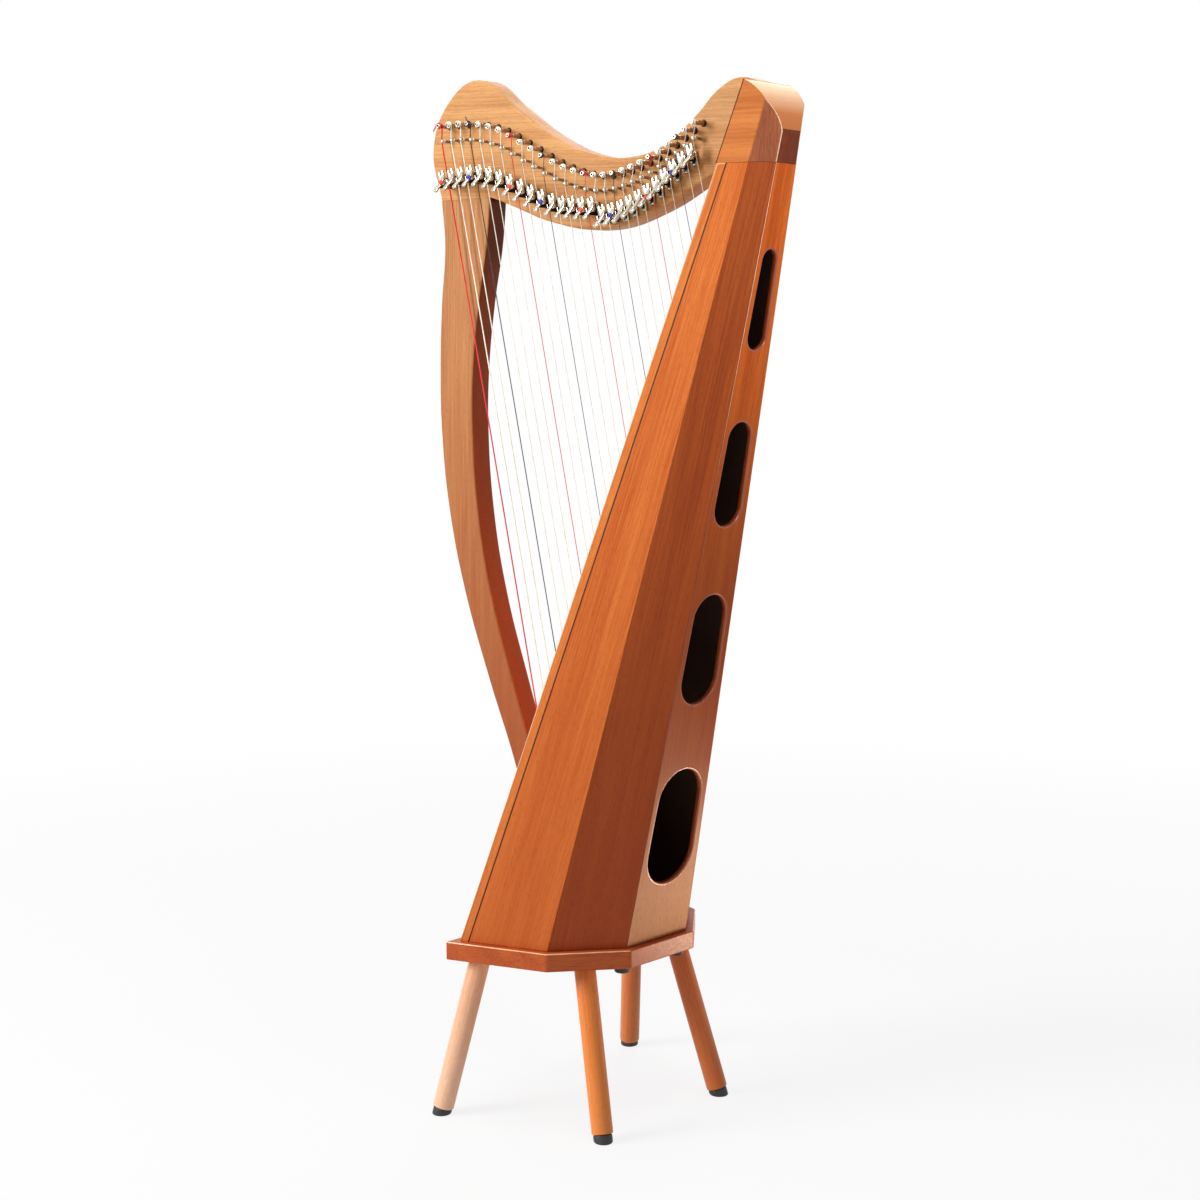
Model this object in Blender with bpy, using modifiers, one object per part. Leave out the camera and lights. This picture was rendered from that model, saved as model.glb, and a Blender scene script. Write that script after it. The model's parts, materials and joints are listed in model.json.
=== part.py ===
"""A small lever harp on four screw-in legs, modelled piece by piece, in metres with +Z up.

The floor is z = 0. The player sits at +X, the pillar stands at -X, and the levers and
tuning pins face -Y. The sound box is a six-sided pyramid whose edges all run to one apex.
"""

import math

import bmesh
import bpy
from mathutils import Matrix, Vector

# Clearances
GAP = 0.0003
STRING_CLEARANCE = 0.0004
BRIDGE_CLEARANCE = 0.0006
AXLE_CLEARANCE = 0.0003
LEVER_SIDE_CLEARANCE = 0.0006
STUD_CLEARANCE = 0.0004

# Base plate, legs and feet
STAND_HEIGHT = 0.1875
PLATE_THICKNESS = 0.021
PLATE_LIP = 0.009
PLATE_ROUNDING = 0.003
LEG_RADIUS = 0.0122
LEG_TIP_RADIUS = 0.0108
LEG_TIP_LENGTH = 0.0092
LEG_STUD_RADIUS = 0.004
LEG_STUD_LENGTH = 0.013
FRONT_LEG_TOP = (-0.0741, 0.1301)
FRONT_LEG_TOE = (-0.1091, 0.1623)
REAR_LEG_TOP = (0.0387, 0.0774)
REAR_LEG_TOE = (0.0886, 0.1010)
FOOT_RADIUS = 0.010
FOOT_HEIGHT = 0.009
FRONT_FOOT = (-0.070, 0.085)
REAR_FOOT = (0.068, 0.0465)

# Sound box: half widths and places of its corners where it stands on the plate
BOX_FRONT = (-0.0831, 0.1562)
BOX_SIDE = (0.0228, 0.1208)
BOX_BACK = (0.0789, 0.0515)
APEX_X = 0.3432
APEX_RISE = 1.2708
SEAT_RISE = 0.8565
WALL = 0.006
BOARD = 0.003
STRIP_WIDTH = 0.011
STRIP_THICKNESS = 0.008
STRIP_PROUD = 0.0006
STRING_RIB_WIDTH = 0.014
STRING_RIB_THICKNESS = 0.003
STRING_RIB_START = 0.0535
STRING_RIB_END_SHARE = 0.99069
ANCHOR_RIB_WIDTH = 0.018
ANCHOR_RIB_THICKNESS = 0.006
ANCHOR_RIB_START = 0.056
BRACE_DEPTH = 0.018
BRACE_WIDTH = 0.014
BRACE_SHARES = (0.27434, 0.51096, 0.73157)
PILLAR_BLOCK_HEIGHT = 0.048
PILLAR_BLOCK_DEPTH = 0.040
PILLAR_BLOCK_HALF_WIDTH = 0.050

# Sound holes: height of the middle up the back and length, both as shares of the back's
# length up to the seat, with an even margin at each side
HOLE_MARGIN = 0.0095
HOLES = ((0.15740, 0.15546), (0.39551, 0.14346), (0.62138, 0.13123), (0.83696, 0.12071))
HOLE_ARC_STEPS = 9

# Neck, in a frame whose zero is where the sound board's plane meets the shoulder seat
NECK_THICKNESS = 0.028
CREST_CENTRE = (0.0006, 0.0319)
CREST_RADIUS = 0.0586
CREST_CUTS = 10
SEAM_OUTER = (-0.4549, -0.0115)
SEAM_INNER = (-0.3714, -0.0115)
NECK_HEEL_RISE = 0.010
NECK_TOP = (
    (-0.4688, 0.0523),
    (-0.4394, 0.1047),
    (-0.3912, 0.1242),
    (-0.3300, 0.0883),
    (-0.2683, 0.0502),
    (-0.2054, 0.0260),
    (-0.1536, 0.0195),
    (-0.1063, 0.0281),
    (-0.0603, 0.0555),
    (-0.0246, 0.0830),
)
NECK_UNDERSIDE = (
    (-0.0433, -0.0105),
    (-0.1151, -0.0410),
    (-0.1927, -0.0566),
    (-0.2724, -0.0451),
    (-0.3364, -0.0234),
)

# Pillar: share of its height, then where its outer and inner edges lie from a straight line
# between the sound box's toe and the neck's outer seam
PILLAR_THICKNESS = 0.029
PILLAR_EDGES = (
    (0.937, -0.0057, 0.0669),
    (0.856, -0.0261, 0.0388),
    (0.759, -0.0465, 0.0112),
    (0.673, -0.0593, -0.0049),
    (0.561, -0.0658, -0.0154),
    (0.448, -0.0593, -0.0136),
    (0.323, -0.0388, 0.0022),
    (0.215, -0.0167, 0.0180),
    (0.108, -0.0032, 0.0228),
)
PILLAR_TOE = 0.0074
PILLAR_SEAT_LENGTH = 0.0438
BOLT_RADIUS = 0.003
BOLT_HEAD_RADIUS = 0.006
BOLT_HEAD_HEIGHT = 0.004
BOLT_RISE = 0.025
BOLT_BITE = 0.009
DOWEL_RADIUS = 0.005
DOWEL_HALF_LENGTH = 0.020
SHOULDER_DOWEL_RISE = 0.040

# Strings: knots of string number, bridge pin place in the neck's frame, and how far the
# tuning pin stands above and beside it
STRINGS = 27
STRING_KNOTS = (
    (1, -0.4387, 0.0566, 0.0172, 0.0013),
    (3, -0.4064, 0.0566, 0.0170, 0.0012),
    (5, -0.3734, 0.0520, 0.0187, 0.0008),
    (7, -0.3397, 0.0419, 0.0200, 0.0008),
    (9, -0.3053, 0.0251, 0.0204, 0.0010),
    (13, -0.2383, -0.0048, 0.0182, 0.0020),
    (17, -0.1785, -0.0151, 0.0158, 0.0030),
    (22, -0.1122, -0.0003, 0.0153, 0.0040),
    (27, -0.0509, 0.0311, 0.0158, 0.0042),
)
# Where the strings meet the board: the first one's height up it, then the spacing and its
# shrink as shares of the board's length above that
FIRST_FOOT = 0.0628
FOOT_STEP = 0.035450
FOOT_STEP_SHRINK = 0.000071377
STRING_STANDOFF = 0.0108
BASS_STRING_RADIUS = 0.0008
TREBLE_STRING_RADIUS = 0.0004
STRING_BEND_HEIGHT = 0.0022
TUNING_PIN_RADIUS = 0.0031
TUNING_PIN_STANDOFF = 0.0165
TUNING_PIN_REACH = 0.0210
TUNING_PIN_KEY_REACH = 0.0120
BRIDGE_PIN_RADIUS = 0.0011
BRIDGE_PIN_REACH = 0.0140
PIN_SIDES = 8

# Sharping levers: each turns on an axle square to its string. The knots are string number
# and how far the axle lies below the bridge pin, read along straight lines.
LEVER_KNOTS = (
    (1, 0.0488),
    (3, 0.0466),
    (5, 0.0415),
    (7, 0.0395),
    (9, 0.0354),
    (10, 0.0346),
    (13, 0.0280),
    (14, 0.0245),
    (16, 0.0212),
    (17, 0.0303),
    (19, 0.0299),
    (22, 0.0262),
    (25, 0.0212),
    (27, 0.0200),
)
AXLE_RADIUS = 0.0010
AXLE_REACH = 0.0095
HUB_RADIUS = 0.0028
HUB_HALF_WIDTH = 0.0032
FORK_HALF_WIDTH = 0.0042
FORK_SLOT_HALF_WIDTH = 0.0017
FORK_LENGTH = 0.0130
FORK_ROOT = 0.0015
FORK_SLOT_ROOT = 0.0062
FORK_THICKNESS = 0.0022
HANDLE_LENGTH = 0.0130
HANDLE_ROOT_RADIUS = 0.0014
HANDLE_TIP_RADIUS = 0.0021
HANDLE_TILT = math.radians(32)
BRACKET_PLATE = (0.0085, 0.0145, 0.0030)
BRACKET_PLATE_DROP = 0.0012
BRACKET_PLATE_LIP = 0.0055
CHEEK_THICKNESS = 0.0010
CHEEK_HEIGHT = 0.0062
EMBED = 0.0005

# Values worked out from the sizes above
PLATE_TOP = STAND_HEIGHT + PLATE_THICKNESS
SEAT_Z = PLATE_TOP + SEAT_RISE
APEX = Vector((APEX_X, 0, PLATE_TOP + APEX_RISE))
BACK_DEPTH = APEX - Vector((BOX_BACK[0], 0, PLATE_TOP))
BACK_LENGTH = BACK_DEPTH.length
FRONT_SLOPE = (APEX_X - BOX_FRONT[0]) / APEX_RISE
NECK_ROOT = Vector((BOX_FRONT[0] + SEAT_RISE * FRONT_SLOPE, 0, SEAT_Z))
NECK_HALF = NECK_THICKNESS / 2
BOARD_LENGTH = SEAT_RISE * math.hypot(1, FRONT_SLOPE)
STRING_RIB_END = BOARD_LENGTH * STRING_RIB_END_SHARE
BACK_SEAT_LENGTH = BACK_LENGTH * SEAT_RISE / APEX_RISE
STOCK_SIZE = 6
Z_AXIS = Vector((0, 0, 1))
OUTLINE_STEPS = 4


def new_collection(name):
    collection = bpy.data.collections.new(name)
    bpy.context.scene.collection.children.link(collection)
    return collection


def new_material(name, colour, roughness, metallic=0.0):
    material = bpy.data.materials.new(name)
    material.use_nodes = True
    surface = material.node_tree.nodes["Principled BSDF"]
    surface.inputs["Base Color"].default_value = (*colour, 1)
    surface.inputs["Roughness"].default_value = roughness
    surface.inputs["Metallic"].default_value = metallic
    return material


def add_object(name, mesh, material):
    """Links a finished mesh as one named sub-part."""
    piece = bpy.data.objects.new(name, mesh)
    mesh.materials.clear()
    mesh.materials.append(material)
    parts.objects.link(piece)
    return piece


def add_tool(name, mesh):
    """Links a mesh as a cutter, or as a shape that is joined to a part."""
    tool = bpy.data.objects.new(name, mesh)
    tool.hide_render = True
    tool.display_type = "WIRE"
    tools.objects.link(tool)
    return tool


def mesh_from(name, shape):
    mesh = bpy.data.meshes.new(name)
    shape.to_mesh(mesh)
    shape.free()
    return mesh


def combine(piece, operation, tool):
    """Cuts a tool from a piece, or joins it on."""
    modifier = piece.modifiers.new(tool.name, "BOOLEAN")
    modifier.operation = operation
    modifier.solver = "EXACT"
    modifier.object = tool


def settled_mesh(piece):
    """The piece's mesh with its modifiers worked in, so that copies can share it."""
    bpy.context.view_layer.update()
    graph = bpy.context.evaluated_depsgraph_get()
    mesh = bpy.data.meshes.new_from_object(piece.evaluated_get(graph))
    piece.modifiers.clear()
    piece.data = mesh
    return mesh


def soften(mesh):
    mesh.shade_smooth()
    mesh.set_sharp_from_angle(angle=math.radians(35))


# Stock that is sawn by planes. A cut is a point on the plane and the side that falls away.
def box_face(first, second):
    """The outward normal of the sound box's face over one side of its foot."""
    along = Vector((*second, 0)) - Vector((*first, 0))
    up = APEX - Vector((*first, PLATE_TOP))
    return along.cross(up).normalized()


def mirrored(corner):
    return (corner[0], -corner[1])


FRONT = box_face(BOX_FRONT, mirrored(BOX_FRONT))
LEFT = box_face(mirrored(BOX_FRONT), mirrored(BOX_SIDE))
LEFT_REAR = box_face(mirrored(BOX_SIDE), mirrored(BOX_BACK))
BACK = box_face(mirrored(BOX_BACK), BOX_BACK)
RIGHT_REAR = box_face(BOX_BACK, BOX_SIDE)
RIGHT = box_face(BOX_SIDE, BOX_FRONT)


def within(face, depth):
    """Saws away what lies outside a box face, or outside a plane that deep under it."""
    return (APEX - face * depth, face)


def without(face, depth):
    """Saws away what lies deeper than this under a box face."""
    return (APEX - face * depth, -face)


def mitre(face, neighbour):
    """Saws a panel at the corner that it shares with its neighbour, leaving half a gap."""
    away = (neighbour - face).normalized()
    return (APEX - away * (GAP / 2), away)


def below(z):
    return (Vector((0, 0, z)), Z_AXIS)


def above(z):
    return (Vector((0, 0, z)), -Z_AXIS)


def beside(half_width):
    return (
        (Vector((0, half_width, 0)), Vector((0, 1, 0))),
        (Vector((0, -half_width, 0)), Vector((0, -1, 0))),
    )


def sawn_mesh(name, cuts):
    shape = bmesh.new()
    bmesh.ops.create_cube(shape, size=STOCK_SIZE)
    for point, away in cuts:
        everything = shape.verts[:] + shape.edges[:] + shape.faces[:]
        cut = bmesh.ops.bisect_plane(
            shape, geom=everything, plane_co=point, plane_no=away, clear_outer=True
        )
        rim = [item for item in cut["geom_cut"] if isinstance(item, bmesh.types.BMEdge)]
        if rim:
            bmesh.ops.contextual_create(shape, geom=rim)
    bmesh.ops.recalc_face_normals(shape, faces=shape.faces)
    return mesh_from(name, shape)


def sawn(name, cuts, material):
    return add_object(name, sawn_mesh(name, cuts), material)


# Rods and flat outlines
def rod_mesh(name, start, end, radius, sides, end_radius=None):
    """A round rod between two points, or a cone where the end has a radius of its own."""
    start = Vector(start)
    end = Vector(end)
    shape = bmesh.new()
    bmesh.ops.create_cone(
        shape,
        cap_ends=True,
        segments=sides,
        radius1=radius,
        radius2=radius if end_radius is None else end_radius,
        depth=(end - start).length,
    )
    turn = (end - start).to_track_quat("Z", "Y").to_matrix().to_4x4()
    bmesh.ops.transform(
        shape, matrix=Matrix.Translation((start + end) / 2) @ turn, verts=shape.verts
    )
    return mesh_from(name, shape)


def joined_mesh(name, meshes):
    """Several meshes that don't touch each other as one."""
    shape = bmesh.new()
    for mesh in meshes:
        shape.from_mesh(mesh)
        bpy.data.meshes.remove(mesh)
    return mesh_from(name, shape)


def curve_mesh(curve_object):
    """The mesh of a curve object, with its loose caps welded on. The curve is removed."""
    bpy.context.view_layer.update()
    graph = bpy.context.evaluated_depsgraph_get()
    mesh = bpy.data.meshes.new_from_object(curve_object.evaluated_get(graph))
    shape = bmesh.new()
    shape.from_mesh(mesh)
    bmesh.ops.remove_doubles(shape, verts=shape.verts, dist=0.00001)
    bmesh.ops.transform(shape, matrix=curve_object.matrix_world, verts=shape.verts)
    bmesh.ops.recalc_face_normals(shape, faces=shape.faces)
    bpy.data.objects.remove(curve_object)
    return mesh_from(mesh.name, shape)


def plank_mesh(name, outline, thickness, turn):
    """A flat outline as a plank. Each point is (x, y, kind), and kind is round or corner."""
    curve = bpy.data.curves.new(name, "CURVE")
    curve.dimensions = "2D"
    curve.fill_mode = "BOTH"
    curve.extrude = thickness / 2
    curve.resolution_u = OUTLINE_STEPS
    spline = curve.splines.new("BEZIER")
    spline.bezier_points.add(len(outline) - 1)
    spline.use_cyclic_u = True
    for point, (x, y, kind) in zip(spline.bezier_points, outline):
        point.co = (x, y, 0)
        handle = "AUTO" if kind == "round" else "VECTOR"
        point.handle_left_type = handle
        point.handle_right_type = handle
    curve_object = bpy.data.objects.new(name, curve)
    curve_object.matrix_world = turn
    tools.objects.link(curve_object)
    return curve_mesh(curve_object)


def tube_mesh(name, points, radius):
    """A six-sided tube along a few points."""
    curve = bpy.data.curves.new(name, "CURVE")
    curve.dimensions = "3D"
    curve.bevel_depth = radius
    curve.bevel_resolution = 1
    curve.use_fill_caps = True
    spline = curve.splines.new("POLY")
    spline.points.add(len(points) - 1)
    for point, place in zip(spline.points, points):
        point.co = (*place, 1)
    curve_object = bpy.data.objects.new(name, curve)
    tools.objects.link(curve_object)
    return curve_mesh(curve_object)


# Stands an outline drawn in x and y up in the x-z plane
UPRIGHT = Matrix.Rotation(math.radians(90), 4, "X")


# Places that several pieces share
def front_point(rise, height=0.0):
    """A point on the sound board's middle, this far up it and this high over its face."""
    foot = Vector((BOX_FRONT[0], 0, PLATE_TOP))
    return foot + (APEX - foot).normalized() * rise + FRONT * height


def neck_point(place, y=0.0):
    """A point given in the neck's own frame."""
    return Vector((NECK_ROOT.x + place[0], y, NECK_ROOT.z + place[1]))


def between(knots, number):
    """Reads a smooth line through knots, each of which starts with its string number."""
    last = len(knots) - 1
    index = min(sum(1 for knot in knots[1:] if knot[0] <= number), last - 1)
    before = knots[max(index - 1, 0)]
    start = knots[index]
    end = knots[index + 1]
    after = knots[min(index + 2, last)]
    span = end[0] - start[0]
    t = (number - start[0]) / span
    values = []
    for column in range(1, len(start)):
        leave = (end[column] - before[column]) / (end[0] - before[0]) * span
        arrive = (after[column] - start[column]) / (after[0] - start[0]) * span
        values.append(
            start[column] * (2 * t**3 - 3 * t**2 + 1)
            + leave * (t**3 - 2 * t**2 + t)
            + end[column] * (3 * t**2 - 2 * t**3)
            + arrive * (t**3 - t**2)
        )
    return values


def string_radius(number):
    share = (number - 1) / (STRINGS - 1)
    return BASS_STRING_RADIUS + (TREBLE_STRING_RADIUS - BASS_STRING_RADIUS) * share


def string_places(number):
    """Bridge pin and tuning pin middles on the neck's face, and the string's own points."""
    x, z, pin_rise, pin_shift = between(STRING_KNOTS, number)
    radius = string_radius(number)
    face = -NECK_HALF
    plane = face - STRING_STANDOFF
    bridge = neck_point((x, z), face)
    pin = neck_point((x + pin_shift, z + pin_rise), face)
    at_bridge = neck_point((x - BRIDGE_PIN_RADIUS - radius - BRIDGE_CLEARANCE, z), plane)
    # The string leaves the tuning pin's far side along a tangent
    run = at_bridge - pin
    turn = TUNING_PIN_RADIUS + radius + GAP
    angle = math.atan2(run.z, run.x) + math.acos(turn / math.hypot(run.x, run.z))
    at_pin = Vector((pin.x + turn * math.cos(angle), 0, pin.z + turn * math.sin(angle)))
    at_pin.y = face - TUNING_PIN_STANDOFF
    count = number - 1
    steps = FOOT_STEP * count - FOOT_STEP_SHRINK * count**2
    rise = FIRST_FOOT + (BOARD_LENGTH - FIRST_FOOT) * steps
    bend = front_point(rise, STRING_RIB_THICKNESS + STRING_BEND_HEIGHT)
    anchor = front_point(rise, -BOARD - GAP - ANCHOR_RIB_THICKNESS / 2)
    return {
        "bridge": bridge,
        "pin": pin,
        "path": (at_pin, at_bridge, bend, anchor),
        "radius": radius,
        "rise": rise,
    }


def axle_drop(number):
    for start, end in zip(LEVER_KNOTS, LEVER_KNOTS[1:]):
        if number <= end[0]:
            share = (number - start[0]) / (end[0] - start[0])
            return start[1] + (end[1] - start[1]) * share
    return LEVER_KNOTS[-1][1]


def lever_frame(number):
    """A lever's axle: its place, x along the axle and z up the string."""
    places = string_places(number)
    top = places["path"][1]
    foot = places["path"][2]
    run = foot - top
    on_string = top + run * (axle_drop(number) / -run.z)
    lean = math.atan2(run.x, -run.z)
    centre = Vector((on_string.x, on_string.y - AXLE_REACH, on_string.z))
    return Matrix.Translation(centre) @ Matrix.Rotation(-lean, 4, "Y")


# Sub-parts
def make_plate(wood):
    corners = [BOX_FRONT, BOX_SIDE, BOX_BACK]
    cuts = [below(PLATE_TOP), above(STAND_HEIGHT)]
    for first, second in zip(corners, corners[1:]):
        along = Vector((second[0] - first[0], second[1] - first[1], 0))
        away = Vector((-along.y, along.x, 0)).normalized()
        start = Vector((*first, 0)) + away * PLATE_LIP
        cuts.append((start, away))
        cuts.append((Vector(mirrored(start.xy)).to_3d(), Vector((away.x, -away.y, 0))))
    cuts.append((Vector((BOX_FRONT[0] - PLATE_LIP, 0, 0)), Vector((-1, 0, 0))))
    cuts.append((Vector((BOX_BACK[0] + PLATE_LIP, 0, 0)), Vector((1, 0, 0))))
    plate = sawn("base_plate", cuts, wood)
    rounding = plate.modifiers.new("rounded edges", "BEVEL")
    rounding.width = PLATE_ROUNDING
    rounding.segments = 2
    return plate


def leg_line(top, toe):
    """The leg's axis, from the plate's underside to the floor."""
    return Vector((*top, STAND_HEIGHT)), Vector((*toe, 0))


def make_legs(plate, wood, rubber):
    for end_name, top, toe in (
        ("front", FRONT_LEG_TOP, FRONT_LEG_TOE),
        ("rear", REAR_LEG_TOP, REAR_LEG_TOE),
    ):
        for side_name, turn in (("left", -1), ("right", 1)):
            name = f"{side_name}_{end_name}_leg"
            high, low = leg_line((top[0], top[1] * turn), (toe[0], toe[1] * turn))
            axis = (high - low).normalized()
            overshoot = axis * (LEG_RADIUS * 2)
            leg_foot = low + axis * LEG_TIP_LENGTH
            leg = add_object(
                name, rod_mesh(name, leg_foot, high + overshoot, LEG_RADIUS, 14), wood
            )
            trim = add_tool(
                f"{name}_trim", sawn_mesh("trim", (above(STAND_HEIGHT - GAP),))
            )
            combine(leg, "DIFFERENCE", trim)
            stud_end = high + axis * LEG_STUD_LENGTH
            stud_start = high - overshoot
            stud = add_tool(
                f"{name}_stud", rod_mesh("stud", stud_start, stud_end, LEG_STUD_RADIUS, 8)
            )
            combine(leg, "UNION", stud)
            socket = add_tool(
                f"{name}_socket",
                rod_mesh(
                    "socket",
                    stud_start,
                    stud_end + axis * STUD_CLEARANCE,
                    LEG_STUD_RADIUS + STUD_CLEARANCE,
                    8,
                ),
            )
            combine(plate, "DIFFERENCE", socket)
            tip_name = f"{name}_tip"
            tip = add_object(
                tip_name,
                rod_mesh(
                    tip_name, low - overshoot, leg_foot - axis * GAP, LEG_TIP_RADIUS, 14
                ),
                rubber,
            )
            floor_trim = add_tool(f"{tip_name}_trim", sawn_mesh("trim", (below(0),)))
            combine(tip, "DIFFERENCE", floor_trim)


def make_feet(rubber):
    for end_name, place in (("front", FRONT_FOOT), ("rear", REAR_FOOT)):
        for side_name, turn in (("left", -1), ("right", 1)):
            name = f"{side_name}_{end_name}_base_foot"
            top = Vector((place[0], place[1] * turn, STAND_HEIGHT - GAP))
            low = top - Z_AXIS * FOOT_HEIGHT
            add_object(name, rod_mesh(name, top, low, FOOT_RADIUS, 16), rubber)


def make_panels(wood):
    floor = above(PLATE_TOP + GAP)
    top = below(SEAT_Z - GAP)
    for side_name, side, rear in (("left", LEFT, LEFT_REAR), ("right", RIGHT, RIGHT_REAR)):
        sawn(
            f"{side_name}_edge_strip",
            (
                within(side, -STRIP_PROUD),
                without(side, STRIP_THICKNESS),
                within(FRONT, 0),
                without(FRONT, STRIP_WIDTH),
                floor,
                top,
            ),
            wood,
        )
        sawn(
            f"{side_name}_side_panel",
            (
                within(side, 0),
                without(side, WALL),
                within(FRONT, STRIP_WIDTH + GAP),
                mitre(side, rear),
                floor,
                top,
            ),
            wood,
        )
        sawn(
            f"{side_name}_rear_panel",
            (
                within(rear, 0),
                without(rear, WALL),
                mitre(rear, side),
                mitre(rear, BACK),
                floor,
                top,
            ),
            wood,
        )


def hole_outline(middle, length):
    """A sound hole's outline on the back: two round ends joined by straight sides that
    keep the same margin to the panel's edges."""
    slope = BOX_BACK[1] / BACK_LENGTH
    points = []
    for end in (1, -1):
        # The round end's own middle lies one radius in from the end of the hole
        tip = middle + end * length / 2
        radius = (BOX_BACK[1] - slope * tip - HOLE_MARGIN) / (1 - end * slope)
        centre = tip - end * radius
        for step in range(HOLE_ARC_STEPS):
            angle = math.pi * step / (HOLE_ARC_STEPS - 1)
            across = end * radius * math.cos(angle)
            points.append((across, centre + end * radius * math.sin(angle), "corner"))
    return points


def back_frame():
    """The back panel's own frame: x to its left, y up it, and z out of it."""
    up = BACK_DEPTH.normalized()
    across = up.cross(BACK)
    frame = Matrix((across, up, BACK)).transposed().to_4x4()
    return Matrix.Translation((BOX_BACK[0], 0, PLATE_TOP)) @ frame


def make_back(wood):
    back = sawn(
        "back_panel",
        (
            within(BACK, 0),
            without(BACK, WALL),
            mitre(BACK, LEFT_REAR),
            mitre(BACK, RIGHT_REAR),
            above(PLATE_TOP + GAP),
            below(SEAT_Z - GAP),
        ),
        wood,
    )
    turn = back_frame()
    for number, shares in enumerate(HOLES, 1):
        name = f"sound_hole_{number}"
        middle, length = (share * BACK_SEAT_LENGTH for share in shares)
        cutter = add_tool(name, plank_mesh(name, hole_outline(middle, length), WALL * 4, turn))
        combine(back, "DIFFERENCE", cutter)


def make_inside(wood):
    """The braces across the back and the block that the pillar is bolted to."""
    up = BACK_DEPTH.normalized()
    for name, share in zip(("lower", "middle", "upper"), BRACE_SHARES):
        start = Vector((BOX_BACK[0], 0, PLATE_TOP)) + up * (BACK_SEAT_LENGTH * share)
        sawn(
            f"{name}_brace",
            (
                within(BACK, WALL + GAP),
                without(BACK, WALL + BRACE_DEPTH),
                within(LEFT_REAR, WALL + GAP),
                within(RIGHT_REAR, WALL + GAP),
                (start + up * (BRACE_WIDTH / 2), up),
                (start - up * (BRACE_WIDTH / 2), -up),
            ),
            wood,
        )
    return sawn(
        "pillar_block",
        (
            within(FRONT, BOARD + GAP),
            without(FRONT, PILLAR_BLOCK_DEPTH),
            *beside(PILLAR_BLOCK_HALF_WIDTH),
            above(PLATE_TOP + GAP),
            below(PLATE_TOP + PILLAR_BLOCK_HEIGHT),
        ),
        wood,
    )


def make_board(spruce, wood):
    board = sawn(
        "soundboard",
        (
            within(FRONT, 0),
            without(FRONT, BOARD),
            within(LEFT, STRIP_THICKNESS + GAP),
            within(RIGHT, STRIP_THICKNESS + GAP),
            above(PLATE_TOP + GAP),
            below(SEAT_Z - GAP),
        ),
        spruce,
    )
    up = (APEX - front_point(0)).normalized()
    rib = sawn(
        "outer_string_rib",
        (
            within(FRONT, -STRING_RIB_THICKNESS - GAP),
            without(FRONT, -GAP),
            *beside(STRING_RIB_WIDTH / 2),
            (front_point(STRING_RIB_START), -up),
            (front_point(STRING_RIB_END), up),
        ),
        wood,
    )
    return board, rib


def make_strings(board, rib, nylon):
    up = (APEX - front_point(0)).normalized()
    strings = sawn(
        "string_set",
        (
            within(FRONT, BOARD + GAP),
            without(FRONT, BOARD + GAP + ANCHOR_RIB_THICKNESS),
            *beside(ANCHOR_RIB_WIDTH / 2),
            (front_point(ANCHOR_RIB_START), -up),
            (front_point(STRING_RIB_END), up),
        ),
        nylon,
    )
    tubes = []
    holes = []
    for number in range(1, STRINGS + 1):
        places = string_places(number)
        tubes.append(tube_mesh("string", places["path"], places["radius"]))
        holes.append(
            rod_mesh(
                "string_hole",
                front_point(places["rise"], STRING_RIB_THICKNESS * 3),
                front_point(places["rise"], -BOARD * 2),
                places["radius"] + STRING_CLEARANCE,
                6,
            )
        )
    combine(strings, "UNION", add_tool("strings", joined_mesh("strings", tubes)))
    drill = add_tool("string_holes", joined_mesh("string_holes", holes))
    combine(board, "DIFFERENCE", drill)
    combine(rib, "DIFFERENCE", drill)


def crest_angle(gap):
    """Where the crest's circle meets the sound board's plane, or one this far in front."""
    centre = neck_point(CREST_CENTRE)
    facing = math.atan2(FRONT.z, FRONT.x)
    reach = gap - FRONT.dot(centre - APEX)
    return facing - math.acos(reach / CREST_RADIUS)


def make_shoulder(wood):
    centre = neck_point(CREST_CENTRE)
    cuts = [within(face, 0) for face in (FRONT, LEFT, LEFT_REAR, BACK, RIGHT_REAR, RIGHT)]
    cuts.append(above(SEAT_Z))
    first = crest_angle(0)
    for step in range(CREST_CUTS):
        angle = first * (1 - step / (CREST_CUTS - 1))
        away = Vector((math.cos(angle), 0, math.sin(angle)))
        cuts.append((centre + away * CREST_RADIUS, away))
    return sawn("shoulder_block", cuts, wood)


def neck_outline():
    """The neck from its outer seam, over the top to the shoulder, and back underneath."""
    points = [(*SEAM_OUTER, "corner")]
    points += [(x, z, "round") for x, z in NECK_TOP]
    last = crest_angle(GAP)
    middle = math.radians(90)
    for angle, kind in ((middle, "round"), (last, "corner")):
        x = CREST_CENTRE[0] + CREST_RADIUS * math.cos(angle)
        z = CREST_CENTRE[1] + CREST_RADIUS * math.sin(angle)
        points.append((x, z, kind))
    heel_x = NECK_HEEL_RISE * FRONT_SLOPE - GAP / -FRONT.x
    points.append((heel_x, NECK_HEEL_RISE, "corner"))
    points += [(x, z, "round") for x, z in NECK_UNDERSIDE]
    points.append((*SEAM_INNER, "corner"))
    return points


def make_neck(wood):
    turn = Matrix.Translation(NECK_ROOT) @ UPRIGHT
    mesh = plank_mesh("neck", neck_outline(), NECK_THICKNESS, turn)
    return add_object("neck", mesh, wood)


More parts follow.
